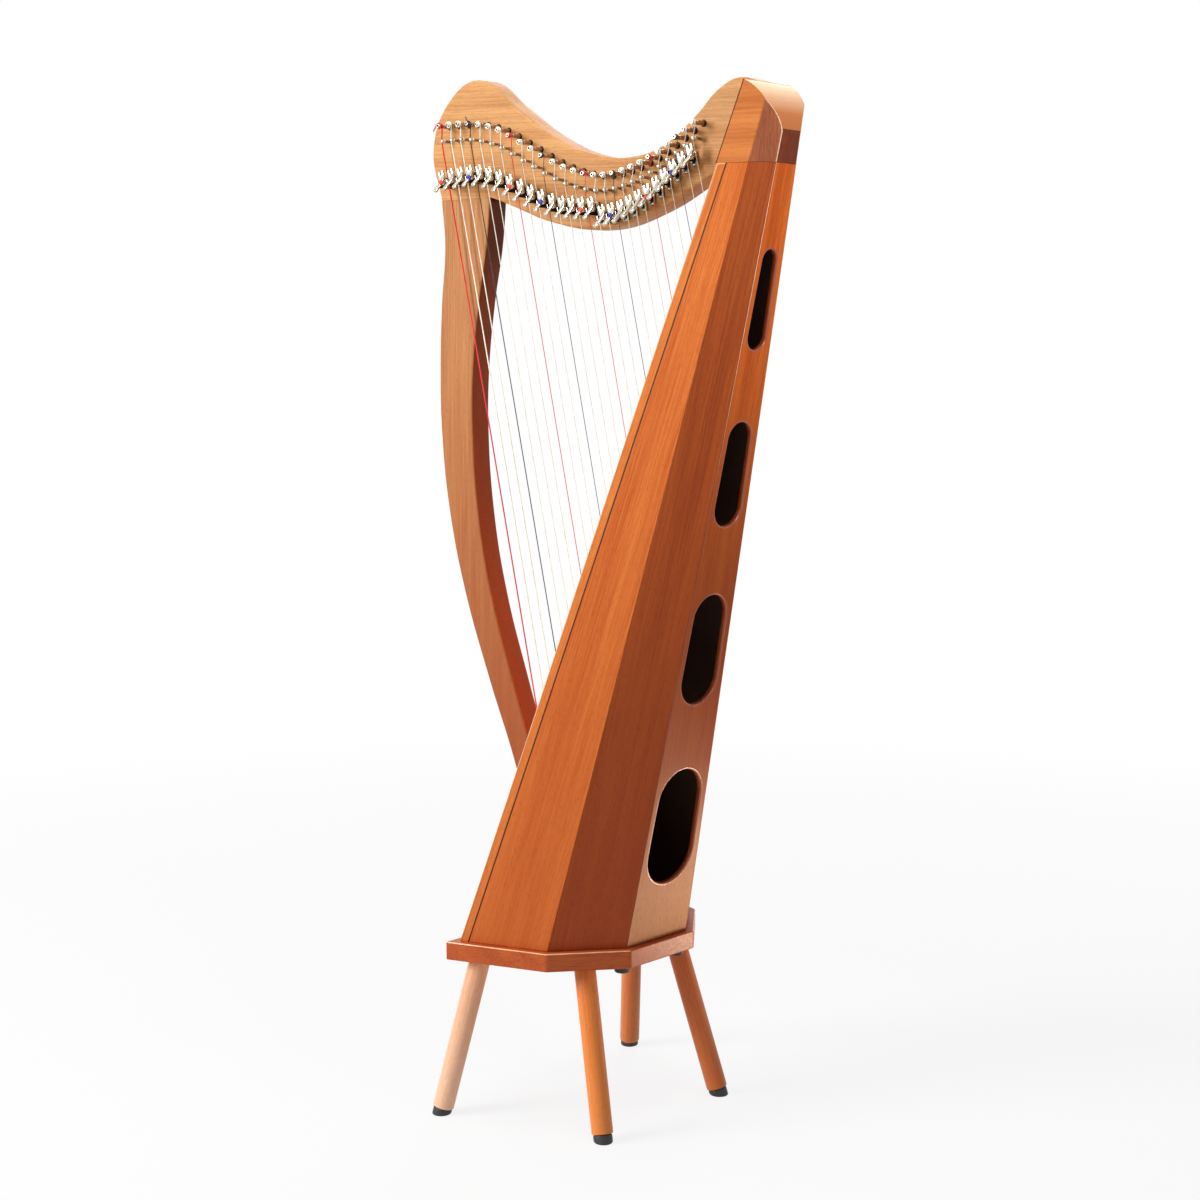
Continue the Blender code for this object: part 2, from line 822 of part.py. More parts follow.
def fit_neck(neck):
    """Joins the pins and the levers' brackets to the neck."""
    fittings = []
    out = Vector((0, -1, 0))
    for number in range(1, STRINGS + 1):
        places = string_places(number)
        pin = places["pin"]
        bridge = places["bridge"]
        fittings.append(
            rod_mesh(
                "tuning_pin",
                pin + out * TUNING_PIN_REACH,
                pin - out * (NECK_THICKNESS + TUNING_PIN_KEY_REACH),
                TUNING_PIN_RADIUS,
                PIN_SIDES,
            )
        )
        fittings.append(
            rod_mesh(
                "bridge_pin",
                bridge + out * BRIDGE_PIN_REACH,
                bridge - out * EMBED,
                BRIDGE_PIN_RADIUS,
                6,
            )
        )
        fittings.append(bracket_mesh(number))
    combine(neck, "UNION", add_tool("neck_fittings", joined_mesh("neck_fittings", fittings)))


def block_mesh(name, low, high, frame):
    """A rectangular block between two corners, placed by a frame."""
    low = Vector(low)
    high = Vector(high)
    shape = bmesh.new()
    bmesh.ops.create_cube(shape, size=1)
    size = Matrix.Diagonal((*(high - low), 1))
    bmesh.ops.transform(
        shape, matrix=frame @ Matrix.Translation((low + high) / 2) @ size, verts=shape.verts
    )
    return mesh_from(name, shape)


def bracket_mesh(number):
    """A lever's bracket on the neck: a plate, one cheek and the axle that it carries."""
    frame = lever_frame(number)
    wall = -NECK_HALF - frame.translation.y
    width, height, thickness = BRACKET_PLATE
    cheek_x = -FORK_HALF_WIDTH - LEVER_SIDE_CLEARANCE
    cheek_end = cheek_x - CHEEK_THICKNESS
    plate_end = cheek_end - BRACKET_PLATE_LIP
    plate = block_mesh(
        "bracket",
        (plate_end, wall - thickness, -height / 2 - BRACKET_PLATE_DROP),
        (plate_end + width, wall + EMBED, height / 2 - BRACKET_PLATE_DROP),
        frame,
    )
    cheek = block_mesh(
        "cheek",
        (cheek_end, -AXLE_RADIUS * 2, -CHEEK_HEIGHT / 2),
        (cheek_x, wall - thickness + EMBED, CHEEK_HEIGHT / 2),
        frame,
    )
    axle = rod_mesh(
        "axle",
        frame @ Vector((cheek_x - CHEEK_THICKNESS / 2, 0, 0)),
        frame @ Vector((HUB_HALF_WIDTH + LEVER_SIDE_CLEARANCE, 0, 0)),
        AXLE_RADIUS,
        6,
    )
    bracket = add_tool("bracket", plate)
    combine(bracket, "UNION", add_tool("cheek", cheek))
    combine(bracket, "UNION", add_tool("axle", axle))
    mesh = settled_mesh(bracket)
    bpy.data.objects.remove(bracket)
    return mesh


def lever_mesh(metal):
    """A sharping lever on its axle at zero: hub, two-pronged fork and handle."""
    hub = add_object(
        "lever_pattern",
        rod_mesh("lever", (-HUB_HALF_WIDTH, 0, 0), (HUB_HALF_WIDTH, 0, 0), HUB_RADIUS, 10),
        metal,
    )
    fork_outline = (
        (-FORK_HALF_WIDTH, FORK_ROOT, "corner"),
        (FORK_HALF_WIDTH, FORK_ROOT, "corner"),
        (FORK_HALF_WIDTH, FORK_LENGTH, "corner"),
        (FORK_SLOT_HALF_WIDTH, FORK_LENGTH, "corner"),
        (FORK_SLOT_HALF_WIDTH, FORK_SLOT_ROOT, "corner"),
        (-FORK_SLOT_HALF_WIDTH, FORK_SLOT_ROOT, "corner"),
        (-FORK_SLOT_HALF_WIDTH, FORK_LENGTH, "corner"),
        (-FORK_HALF_WIDTH, FORK_LENGTH, "corner"),
    )
    fork = add_tool("fork", fork_mesh(fork_outline))
    out = Vector((0, -math.cos(HANDLE_TILT), -math.sin(HANDLE_TILT)))
    handle = add_tool(
        "handle",
        rod_mesh(
            "handle",
            out * (HUB_RADIUS / 2),
            out * HANDLE_LENGTH,
            HANDLE_ROOT_RADIUS,
            6,
            HANDLE_TIP_RADIUS,
        ),
    )
    bore = add_tool(
        "lever_bore",
        rod_mesh(
            "lever_bore",
            (-HUB_HALF_WIDTH * 2, 0, 0),
            (HUB_HALF_WIDTH * 2, 0, 0),
            AXLE_RADIUS + AXLE_CLEARANCE,
            8,
        ),
    )
    combine(hub, "UNION", fork)
    combine(hub, "UNION", handle)
    combine(hub, "DIFFERENCE", bore)
    mesh = settled_mesh(hub)
    bpy.data.objects.remove(hub)
    return mesh


def fork_mesh(outline):
    """A flat shape of straight lines, drawn in x and z and given its thickness."""
    shape = bmesh.new()
    corners = [shape.verts.new((x, -FORK_THICKNESS / 2, z)) for x, z, _ in outline]
    face = shape.faces.new(corners)
    grown = bmesh.ops.extrude_face_region(shape, geom=[face])
    moved = [item for item in grown["geom"] if isinstance(item, bmesh.types.BMVert)]
    bmesh.ops.translate(shape, vec=(0, FORK_THICKNESS, 0), verts=moved)
    bmesh.ops.recalc_face_normals(shape, faces=shape.faces)
    return mesh_from("fork", shape)


def make_levers(metal):
    mesh = lever_mesh(metal)
    for number in range(1, STRINGS + 1):
        lever = add_object(f"lever_{number:02d}", mesh, metal)
        lever.matrix_world = lever_frame(number)


def pillar_line(share):
    """A point on the straight line from the sound box's toe to the neck's outer seam."""
    toe = Vector((BOX_FRONT[0], 0, PLATE_TOP))
    seam = neck_point(SEAM_OUTER)
    return toe + (seam - toe) * share


def make_pillar(wood):
    seam_z = neck_point(SEAM_OUTER).z - GAP
    outer = []
    inner = []
    for share, outer_edge, inner_edge in PILLAR_EDGES:
        line = pillar_line(share)
        outer.append((line.x + outer_edge, line.z))
        inner.append((line.x + inner_edge, line.z))
    seat = front_point(PILLAR_SEAT_LENGTH, GAP)
    toe_z = PLATE_TOP + GAP
    toe_x = front_point(0, GAP).x + (toe_z - front_point(0, GAP).z) * FRONT_SLOPE
    outline = [(neck_point(SEAM_OUTER).x, seam_z, "corner")]
    outline += [(x, z, "round") for x, z in outer]
    outline.append((BOX_FRONT[0] - PILLAR_TOE, toe_z, "corner"))
    outline.append((toe_x, toe_z, "corner"))
    outline.append((seat.x, seat.z, "corner"))
    outline += [(x, z, "round") for x, z in reversed(inner)]
    outline.append((neck_point(SEAM_INNER).x, seam_z, "corner"))
    return add_object(
        "pillar", plank_mesh("pillar", outline, PILLAR_THICKNESS, UPRIGHT), wood
    )


def bored(piece, name, start, end, radius):
    """Drills a hole in a piece, a clearance wider than the rod that goes in it."""
    drill = rod_mesh(name, start, end, radius + STUD_CLEARANCE, 10)
    combine(piece, "DIFFERENCE", add_tool(f"{piece.name}_{name}", drill))


def make_fasteners(pillar, board, block, neck, shoulder, steel, wood):
    """The bolt through the sound board into the pillar, and the dowels in the neck."""
    inner = front_point(BOLT_RISE, -PILLAR_BLOCK_DEPTH - GAP)
    tip = front_point(BOLT_RISE, BOLT_BITE)
    bolt = add_object(
        "pillar_bolt", rod_mesh("pillar_bolt", inner, tip, BOLT_RADIUS, 10), steel
    )
    head_start = inner + FRONT * (GAP / 2)
    head_end = inner - FRONT * BOLT_HEAD_HEIGHT
    head = rod_mesh("bolt_head", head_start, head_end, BOLT_HEAD_RADIUS, 6)
    combine(bolt, "UNION", add_tool("bolt_head", head))
    for piece in (pillar, board, block):
        bored(piece, "bolt_bore", inner - FRONT * 0.01, tip + FRONT * GAP, BOLT_RADIUS)
    seam = (neck_point(SEAM_OUTER) + neck_point(SEAM_INNER)) / 2
    shoulder_face = front_point(BOARD_LENGTH + SHOULDER_DOWEL_RISE)
    for name, middle, axis, pieces in (
        ("pillar_dowel", seam, Z_AXIS, (pillar, neck)),
        ("shoulder_dowel", shoulder_face, FRONT, (shoulder, neck)),
    ):
        reach = axis * DOWEL_HALF_LENGTH
        rod = rod_mesh(name, middle - reach, middle + reach, DOWEL_RADIUS, 10)
        add_object(name, rod, wood)
        spare = axis * (DOWEL_HALF_LENGTH + STUD_CLEARANCE)
        for piece in pieces:
            bored(piece, f"{name}_bore", middle - spare, middle + spare, DOWEL_RADIUS)


def main():
    for old in list(bpy.data.objects):
        bpy.data.objects.remove(old)
    mahogany = new_material("mahogany", (0.50, 0.18, 0.06), 0.35)
    spruce = new_material("spruce", (0.72, 0.50, 0.28), 0.4)
    rubber = new_material("rubber", (0.02, 0.02, 0.02), 0.8)
    nickel = new_material("nickel", (0.75, 0.72, 0.66), 0.2, 1.0)
    nylon = new_material("nylon", (0.85, 0.80, 0.65), 0.3)
    plate = make_plate(mahogany)
    make_legs(plate, mahogany, rubber)
    make_feet(rubber)
    make_panels(mahogany)
    make_back(mahogany)
    block = make_inside(mahogany)
    board, rib = make_board(spruce, mahogany)
    make_strings(board, rib, nylon)
    shoulder = make_shoulder(mahogany)
    neck = make_neck(mahogany)
    pillar = make_pillar(mahogany)
    make_levers(nickel)
    make_fasteners(pillar, board, block, neck, shoulder, nickel, mahogany)
    fit_neck(neck)


parts = new_collection("harp")
tools = new_collection("cutters")
main()
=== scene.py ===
# %% [markdown]
# # A small lever harp on four legs
# The harp stands on a base plate with four screwed-in legs. Its sound box is a tall,
# six-sided taper that leans over the player's shoulder, and a curved neck and a curved
# pillar close the triangle that holds 27 strings. Each cell below makes one part or one
# finish. The measured model comes first: every piece here is laid exactly over it, so the
# real work of this lesson is edges, fittings and surfaces.

# %% Load the measured model
import json
import math

import bmesh
import bpy
from mathutils import Matrix, Vector


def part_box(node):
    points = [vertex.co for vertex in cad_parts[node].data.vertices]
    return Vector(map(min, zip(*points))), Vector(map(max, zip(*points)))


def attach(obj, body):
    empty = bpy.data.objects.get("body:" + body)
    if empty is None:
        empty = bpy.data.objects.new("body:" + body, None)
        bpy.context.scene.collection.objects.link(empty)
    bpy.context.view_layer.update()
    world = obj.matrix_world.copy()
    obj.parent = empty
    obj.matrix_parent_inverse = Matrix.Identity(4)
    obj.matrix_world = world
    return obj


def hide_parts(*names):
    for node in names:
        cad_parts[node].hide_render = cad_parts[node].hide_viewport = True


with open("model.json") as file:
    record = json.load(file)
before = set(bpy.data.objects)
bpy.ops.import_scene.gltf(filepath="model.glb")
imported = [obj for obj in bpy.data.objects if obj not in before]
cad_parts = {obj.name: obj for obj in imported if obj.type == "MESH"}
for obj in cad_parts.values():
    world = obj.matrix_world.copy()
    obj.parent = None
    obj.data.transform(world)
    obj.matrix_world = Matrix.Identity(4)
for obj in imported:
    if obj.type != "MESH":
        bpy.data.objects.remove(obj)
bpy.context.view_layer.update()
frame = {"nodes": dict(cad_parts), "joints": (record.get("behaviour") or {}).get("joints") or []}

# %% [markdown]
# ## The camera
# The picture was taken from the harp's left and behind, a little above its middle. A camera
# could be aimed by eye, but the corners of the base plate and of the sound box fix it
# exactly, so its turn, tip and tilt are written here as angles and built into a matrix.

# %% The camera
CAMERA_PLACE = (1.5687, -1.7026, 0.8594)
CAMERA_AROUND = math.radians(42.787)
CAMERA_ABOVE = math.radians(6.605)
CAMERA_TILT = math.radians(-0.197)
CAMERA_LENS = 61.12
CAMERA_SENSOR = 36.0
CAMERA_REACH = 60


def placed(name, data):
    """An object for a mesh, curve, lamp or camera, put in the scene."""
    made = bpy.data.objects.new(name, data)
    bpy.context.scene.collection.objects.link(made)
    return made


flat = math.cos(CAMERA_ABOVE)
backwards = Vector(
    (math.sin(CAMERA_AROUND) * flat, -math.cos(CAMERA_AROUND) * flat, math.sin(CAMERA_ABOVE))
)
level_right = Vector((math.cos(CAMERA_AROUND), math.sin(CAMERA_AROUND), 0))
level_up = backwards.cross(level_right)
right = level_right * math.cos(CAMERA_TILT) + level_up * math.sin(CAMERA_TILT)
axes = Matrix((right, backwards.cross(right), backwards)).transposed().to_4x4()
camera_data = bpy.data.cameras.new("camera")
camera_data.lens = CAMERA_LENS
camera_data.sensor_width = CAMERA_SENSOR
camera_data.clip_end = CAMERA_REACH
camera = placed("camera", camera_data)
camera.matrix_world = Matrix.Translation(CAMERA_PLACE) @ axes
bpy.context.scene.camera = camera
print("camera stands", round(Vector(CAMERA_PLACE).length, 2), "m from the floor's centre")

# %% [markdown]
# ## Node helpers
# Every finish below is a small tree of nodes. Adding nodes and links by hand is wordy, so a
# helper adds a node with its settings and inputs, and the others build on it. The noise reads
# Object coordinates, which are metres here, so a cell of 0.012 is a 12 mm streak on the real
# harp.

# %% Nodes
def feed(tree, socket, source):
    """Gives an input a plain value, or links it to another node's output."""
    if isinstance(source, bpy.types.NodeSocket):
        tree.links.new(source, socket)
    else:
        socket.default_value = source


def node(tree, kind, inputs=(), **settings):
    made = tree.nodes.new("ShaderNode" + kind)
    for name, value in settings.items():
        setattr(made, name, value)
    for socket, source in dict(inputs).items():
        feed(tree, made.inputs[socket], source)
    return made


def maths(tree, operation, first, second, **settings):
    inputs = {0: first, 1: second}
    return node(tree, "Math", inputs, operation=operation, **settings).outputs[0]


def here(tree):
    """The place on the harp that is being shaded, in metres."""
    return node(tree, "TexCoord").outputs["Object"]


def mixed(tree, factor, first, last):
    inputs = {0: factor, 6: first, 7: last}
    return node(tree, "Mix", inputs, data_type="RGBA").outputs[2]


def rescaled(tree, value, from_low, from_high, to_low, to_high):
    inputs = {"From Min": from_low, "From Max": from_high, "To Min": to_low, "To Max": to_high}
    return node(tree, "MapRange", {"Value": value, **inputs}).outputs["Result"]


print("node helpers ready")

# %% Colours and patterns
NOISE_LOW = 0.3
NOISE_HIGH = 0.7


def srgb(red, green, blue):
    """A colour as a picture editor shows it, 0 to 255, in Blender's linear values."""
    shares = [value / 255 for value in (red, green, blue)]
    return (*(s / 12.92 if s <= 0.04045 else ((s + 0.055) / 1.055) ** 2.4 for s in shares), 1)


def new_finish(name, colour, roughness, metallic=0.0, specular=0.5):
    """A material, its tree of nodes and its shader."""
    material = bpy.data.materials.new(name)
    material.use_nodes = True
    tree = material.node_tree
    surface = tree.nodes["Principled BSDF"]
    surface.inputs["Base Color"].default_value = colour
    surface.inputs["Roughness"].default_value = roughness
    surface.inputs["Metallic"].default_value = metallic
    surface.inputs["Specular IOR Level"].default_value = specular
    return material, tree, surface


def streaks(tree, along, across_cell, along_cell, detail):
    """Noise drawn out along a direction, in cells of these sizes in metres."""
    turn = Vector(along).to_track_quat("Z", "Y").to_euler()
    scale = (across_cell, across_cell, along_cell)
    inputs = {"Vector": here(tree), "Rotation": turn, "Scale": scale}
    laid = node(tree, "Mapping", inputs, vector_type="TEXTURE").outputs["Vector"]
    return node(tree, "TexNoise", {"Vector": laid, "Scale": 1.0, "Detail": detail}).outputs[0]


def ramp(tree, value, low, high, first, last):
    """Turns a value into a colour: first up to low, last from high."""
    made = node(tree, "ValToRGB", {0: value})
    for stop, position, colour in zip(made.color_ramp.elements, (low, high), (first, last)):
        stop.position = position
        stop.color = colour
    return made.outputs[0]


def spread(tree, value, low, high):
    """Turns a noise into a number between low and high."""
    return rescaled(tree, value, NOISE_LOW, NOISE_HIGH, low, high)


def dented(tree, surface, height, strength, depth):
    inputs = {"Strength": strength, "Distance": depth, "Height": height}
    feed(tree, surface.inputs["Normal"], node(tree, "Bump", inputs).outputs["Normal"])


def mottled(name, tones, rough, cells, dents, limits=(0.35, 0.65), along=(0, 0, 1), metallic=0.0):
    """A finish whose colour, roughness and surface vary a little, all with one noise."""
    dark, pale = (srgb(*tone) for tone in tones)
    low, high = rough
    material, tree, surface = new_finish(name, pale, high, metallic)
    noise = streaks(tree, along, *cells)
    feed(tree, surface.inputs["Base Color"], ramp(tree, noise, *limits, dark, pale))
    if low < high:
        feed(tree, surface.inputs["Roughness"], spread(tree, noise, low, high))
    dented(tree, surface, noise, *dents)
    return material


print("colour helpers ready, white is", srgb(255, 255, 255))

# %% [markdown]
# ## Mahogany under a satin lacquer
# The wood is mahogany: a warm orange-brown with broad ribbons of tone, fine streaks, and short
# dark pores that follow the grain. An image of wood would do, but it would stretch over the
# long tapered panels. Three noises drawn out along the grain give the same three things at
# their true sizes, and turn with each board because every board has a grain direction. Most
# boards also change tone with height. Inside, the box is bare wood darkened as painted shade.

# %% Wood finishes
BLACK = (0.0, 0.0, 0.0, 1.0)
RIBBON = (0.016, 0.42, 3.0)
STREAK = (0.0018, 0.09, 2.0)
PORE = (0.0008, 0.0075, 1.0)
PORE_SHARE = 0.26
PORE_DARKNESS = 0.55
PORE_LIMITS = (0.55, 0.70)
TONE_LIMITS = (0.38, 0.62)
GRAIN_DENTS = (0.10, 0.0004)
FADE_SHARE = 0.6
# INSIDE_SHADE is painted shade: the colour that darkens the box's bare inner faces.
INSIDE_SHADE = (128, 104, 92)


def faded(tree, tone, foot, high, low, share=FADE_SHARE):
    """Draws a tone towards another one from a height down to a lower one."""
    height = node(tree, "SeparateXYZ", {0: here(tree)}).outputs["Z"]
    return mixed(tree, rescaled(tree, height, high, low, 0.0, share), tone, srgb(*foot))


def wooden(name, along, pale, deep, roughness=0.36, specular=0.15, pores=PORE_SHARE, fades=()):
    """Wood with its grain along a direction. Fades are what faded takes after the tone."""
    material, tree, surface = new_finish(name, srgb(*pale), roughness, 0.0, specular)
    broad = streaks(tree, along, *RIBBON)
    fine = streaks(tree, along, *STREAK)
    pore = streaks(tree, along, *PORE)
    both = maths(tree, "MULTIPLY", maths(tree, "ADD", broad, fine), 0.5)
    tone = ramp(tree, both, *TONE_LIMITS, srgb(*deep), srgb(*pale))
    for fade in fades:
        tone = faded(tree, tone, *fade)
    mark = ramp(tree, pore, *PORE_LIMITS, BLACK, (pores, pores, pores, 1))
    pore_colour = srgb(*(value * PORE_DARKNESS for value in deep))
    feed(tree, surface.inputs["Base Color"], mixed(tree, mark, tone, pore_colour))
    rough = spread(tree, fine, roughness - 0.06, roughness + 0.08)
    feed(tree, surface.inputs["Roughness"], rough)
    dented(tree, surface, mixed(tree, mark, fine, BLACK), *GRAIN_DENTS)
    return material


print("wood fades by", FADE_SHARE, "unless told otherwise")

# %% [markdown]
# ## The sound box's planes
# The sound box is a pyramid cut off at the top: six planes that all pass through one point,
# the apex. A board of the box is therefore stock sawn by planes, two of them its own faces
# and the others its neighbours. Bisecting a block with each plane in turn, and filling the
# cut, is what the saw does, so no corner has to be worked out by hand.

# %% The box's planes
PLATE_TOP = 0.2085
STAND_HEIGHT = 0.1875
SEAT_Z = 1.065
GAP = 0.0003
BOX_FRONT = (-0.0831, 0.1562)
BOX_SIDE = (0.0228, 0.1208)
BOX_BACK = (0.0789, 0.0515)
APEX = Vector((0.3432, 0, 1.4793))
Z_AXIS = Vector((0, 0, 1))


def mirrored(corner):
    return (corner[0], -corner[1])


def box_face(first, second):
    """The outward direction of the box face that stands on one side of its foot."""
    along = Vector((*second, 0)) - Vector((*first, 0))
    return along.cross(APEX - Vector((*first, PLATE_TOP))).normalized()


FRONT = box_face(BOX_FRONT, mirrored(BOX_FRONT))
LEFT = box_face(mirrored(BOX_FRONT), mirrored(BOX_SIDE))
LEFT_REAR = box_face(mirrored(BOX_SIDE), mirrored(BOX_BACK))
BACK = box_face(mirrored(BOX_BACK), BOX_BACK)
RIGHT_REAR = box_face(BOX_BACK, BOX_SIDE)
RIGHT = box_face(BOX_SIDE, BOX_FRONT)
HANDS = (("left", -1, LEFT, LEFT_REAR), ("right", 1, RIGHT, RIGHT_REAR))


def within(face, depth):
    return (APEX - face * depth, face)


def without(face, depth):
    return (APEX - face * depth, -face)


def mitre(face, neighbour):
    away = (neighbour - face).normalized()
    return (APEX - away * (GAP / 2), away)


def below(z):
    return (Vector((0, 0, z)), Z_AXIS)


def above(z):
    return (Vector((0, 0, z)), -Z_AXIS)


def shade_behind(material, face, thickness):
    """Paints a board's inner face, this far behind its outer one, with painted shade on bare wood.
    """
    tree = material.node_tree
    colour = tree.nodes["Principled BSDF"].inputs["Base Color"]
    lacquered = colour.links[0].from_socket
    inputs = {0: here(tree), 1: face}
    across = node(tree, "VectorMath", inputs, operation="DOT_PRODUCT").outputs["Value"]
    behind = maths(tree, "LESS_THAN", across, (APEX - face * (thickness - GAP)).dot(face))
    feed(tree, colour, mixed(tree, behind, lacquered, srgb(*INSIDE_SHADE)))


print("the left side faces", [round(value, 3) for value in LEFT])

# %% Sawing and rounding
STOCK = 6


def cut(shape, point, away, clear=True):
    """Cuts along a plane. What lies on the away side falls off, or stays if not clear."""
    made = bmesh.ops.bisect_plane(
        shape,
        geom=shape.verts[:] + shape.edges[:] + shape.faces[:],
        plane_co=point,
        plane_no=away,
        clear_outer=clear,
    )
    rim = [item for item in made["geom_cut"] if isinstance(item, bmesh.types.BMEdge)]
    if clear and rim:
        bmesh.ops.contextual_create(shape, geom=rim)


def sawn(cuts):
    """A block sawn by planes. A cut is a point on the plane and the side that falls away."""
    shape = bmesh.new()
    bmesh.ops.create_cube(shape, size=STOCK)
    for point, away in cuts:
        cut(shape, point, away)
    bmesh.ops.recalc_face_normals(shape, faces=shape.faces)
    return shape


def rounded(shape, edges, radius, segments):
    """Rounds some edges. Only the new faces are shaded smooth, so flats stay flat."""
    made = bmesh.ops.bevel(
        shape,
        geom=edges,
        offset=radius,
        offset_type="OFFSET",
        segments=segments,
        profile=0.5,
        affect="EDGES",
        material=-1,
        clamp_overlap=True,
    )
    for face in made["faces"]:
        face.smooth = True


def sharp_edges(shape, angle=25):
    edges = (edge for edge in shape.edges if len(edge.link_faces) == 2)
    return [edge for edge in edges if edge.calc_face_angle(0) > math.radians(angle)]


def on_plane(edge, point, normal, slack=0.00005):
    return all(abs((vertex.co - point).dot(normal)) < slack for vertex in edge.verts)


shape = sawn((within(LEFT, 0), without(LEFT, 0.006), below(1), above(0.9)))
print("a sawn sample has", len(shape.faces), "faces")
shape.free()

# %% [markdown]
# ## Handing a piece over
# A finished mesh becomes an object that rides on a body of the measured model and carries
# its finishes, and the measured nodes that it stands for are hidden. Doing it in one helper
# keeps all of them alike, with each object left at the origin.

# %% Handing a piece over
def finished(name, shape, finishes, stands_for=(), body="frame", smooth=None):
    bmesh.ops.recalc_face_normals(shape, faces=shape.faces)
    mesh = bpy.data.meshes.new(name)
    shape.to_mesh(mesh)
    shape.free()
    for finish in finishes:
        mesh.materials.append(finish)
    if smooth is not None:
        mesh.shade_smooth()
        mesh.set_sharp_from_angle(angle=math.radians(smooth))
    piece = placed(name, mesh)
    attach(piece, body)
    if stands_for:
        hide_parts(*stands_for)
    print(f"{name}: {len(mesh.polygons)} faces")


# %% [markdown]
# ## Side and rear panels
# Four panels of 6 mm wood make the sides of the box, two on each hand. They meet in mitres
# that the maker has sanded, so the corner shows as a fine bright line and not as a knife
# edge. Each panel is sawn by its planes and its outer edges are rounded by half a millimetre.

# %% Side and rear panels
WALL = 0.006
STRIP_WIDTH = 0.011
EDGE_SOFTENING = 0.0006
FADE_HEIGHTS = (0.95, 0.30)
# The rear panels take darker copies of the side panels' tones: painted shade on the side the main
# lamp leaves in shade.
SIDE_TONES = ((215, 120, 54), (183, 84, 31), (192, 90, 36))
REAR_SHADED_TONES = ((180, 86, 35), (149, 63, 24), (172, 72, 30))

floor_cut = above(PLATE_TOP + GAP)
seat_cut = below(SEAT_Z - GAP)


def box_grain(near, far, turn):
    """The direction from the middle of one side of the box's foot up to the apex."""
    middle = ((near[0] + far[0]) / 2, (near[1] + far[1]) / 2 * turn, PLATE_TOP)
    return APEX - Vector(middle)


def panel(face, *cuts):
    """A board of the box between its two faces, with its outer edges eased."""
    shape = sawn((within(face, 0), without(face, WALL), *cuts, floor_cut, seat_cut))
    outer = [edge for edge in sharp_edges(shape) if on_plane(edge, APEX, face)]
    rounded(shape, outer, EDGE_SOFTENING, 3)
    return shape


strip_cut = within(FRONT, STRIP_WIDTH + GAP)
for hand, turn, side, rear in HANDS:
    for kind, face, foot_side, tones, cuts in (
        ("side", side, (BOX_FRONT, BOX_SIDE), SIDE_TONES, (strip_cut, mitre(side, rear))),
        ("rear", rear, (BOX_SIDE, BOX_BACK), REAR_SHADED_TONES, (mitre(rear, side), mitre(rear, BACK))),
    ):
        pale, deep, foot = tones
        grain = box_grain(*foot_side, turn)
        fades = ((foot, *FADE_HEIGHTS),)
        wood_with_painted_light = wooden(f"{hand} {kind} mahogany", grain, pale, deep, fades=fades)
        shade_behind(wood_with_painted_light, face, WALL)
        name = f"{hand}_{kind}_panel"
        finished(f"{name}_board", panel(face, *cuts), [wood_with_painted_light], [name])

# %% [markdown]
# ## Edge strips and their dark line
# A strip of wood runs up each side of the soundboard and covers the board's edge. Its front
# corner is well rounded, and the paler, glossier wood on it is a painted highlight. A thin dark
# line of inlay parts it from the side panel. The strip is sawn like the panels, a shade narrower
# than its measured width, and the inlay is a strip of its own in the room that leaves. A band
# at the strip's top end is a painted highlight too.

# %% Edge strips and inlay
INLAY_WIDTH = 0.0006
INLAY_PROUD = 0.0001
STRIP_THICKNESS = 0.008
STRIP_PROUD = 0.0006
STRIP_ROUNDING = 0.0042
STRIP_EASING = 0.0004
STRIP_HIGHLIGHT_BAND = 0.0014
WIDE = (0.3, 0.7)

inlay_tones = ((26, 12, 8), (66, 32, 18))
inlay_cells = (0.0006, 0.01, 2.0)
inlay = mottled(
    "dark inlay", inlay_tones, (0.5, 0.5), inlay_cells, (0.2, 0.0002), WIDE, (0.3, 0, 1)
)


def strip(side, proud, start, end):
    """Stock along the edge of the board, between two depths behind the box's front."""
    faces = (within(side, proud), without(side, STRIP_THICKNESS))
    return sawn((*faces, within(FRONT, start), without(FRONT, end), floor_cut, seat_cut))


for hand, turn, side, _ in HANDS:
    grain = box_grain(BOX_FRONT, BOX_FRONT, turn)
    fades = (((208, 108, 48), *FADE_HEIGHTS),)
    wood_with_painted_light = wooden(f"{hand} strip mahogany", grain, (220, 130, 62), (196, 104, 44), fades=fades)
    # The paler, glossier wood on the rounded front corner and the top end is a painted highlight.
    edge_highlight_wood = wooden(
        f"{hand} strip edge painted highlight", grain, (250, 196, 146), (232, 166, 112), 0.25, 0.5
    )
    shape = strip(side, -STRIP_PROUD, 0, STRIP_WIDTH - INLAY_WIDTH)
    proud = APEX + side * STRIP_PROUD
    front_edges = [e for e in shape.edges if on_plane(e, APEX, FRONT)]
    rounded(shape, [e for e in front_edges if on_plane(e, proud, side)], STRIP_ROUNDING, 7)
    outwards = (side + FRONT).normalized()
    for face in shape.faces:
        face.material_index = int(face.smooth and face.normal.dot(outwards) > 0.85)
    rest = [
        edge
        for edge in sharp_edges(shape, 60)
        if on_plane(edge, proud, side) or on_plane(edge, APEX, FRONT)
    ]
    rounded(shape, rest, STRIP_EASING, 2)
    end_cut = Vector((0, 0, SEAT_Z - STRIP_HIGHLIGHT_BAND))
    cut(shape, end_cut, Z_AXIS, clear=False)
    for face in shape.faces:
        if face.calc_center_median().z > end_cut.z:
            face.material_index = 1
    name = f"{hand}_edge_strip"
    finished(f"{name}_board", shape, [wood_with_painted_light, edge_highlight_wood], [name])
    shape = strip(side, -INLAY_PROUD, STRIP_WIDTH - INLAY_WIDTH, STRIP_WIDTH + GAP)
    finished(f"{hand}_inlay", shape, [inlay])
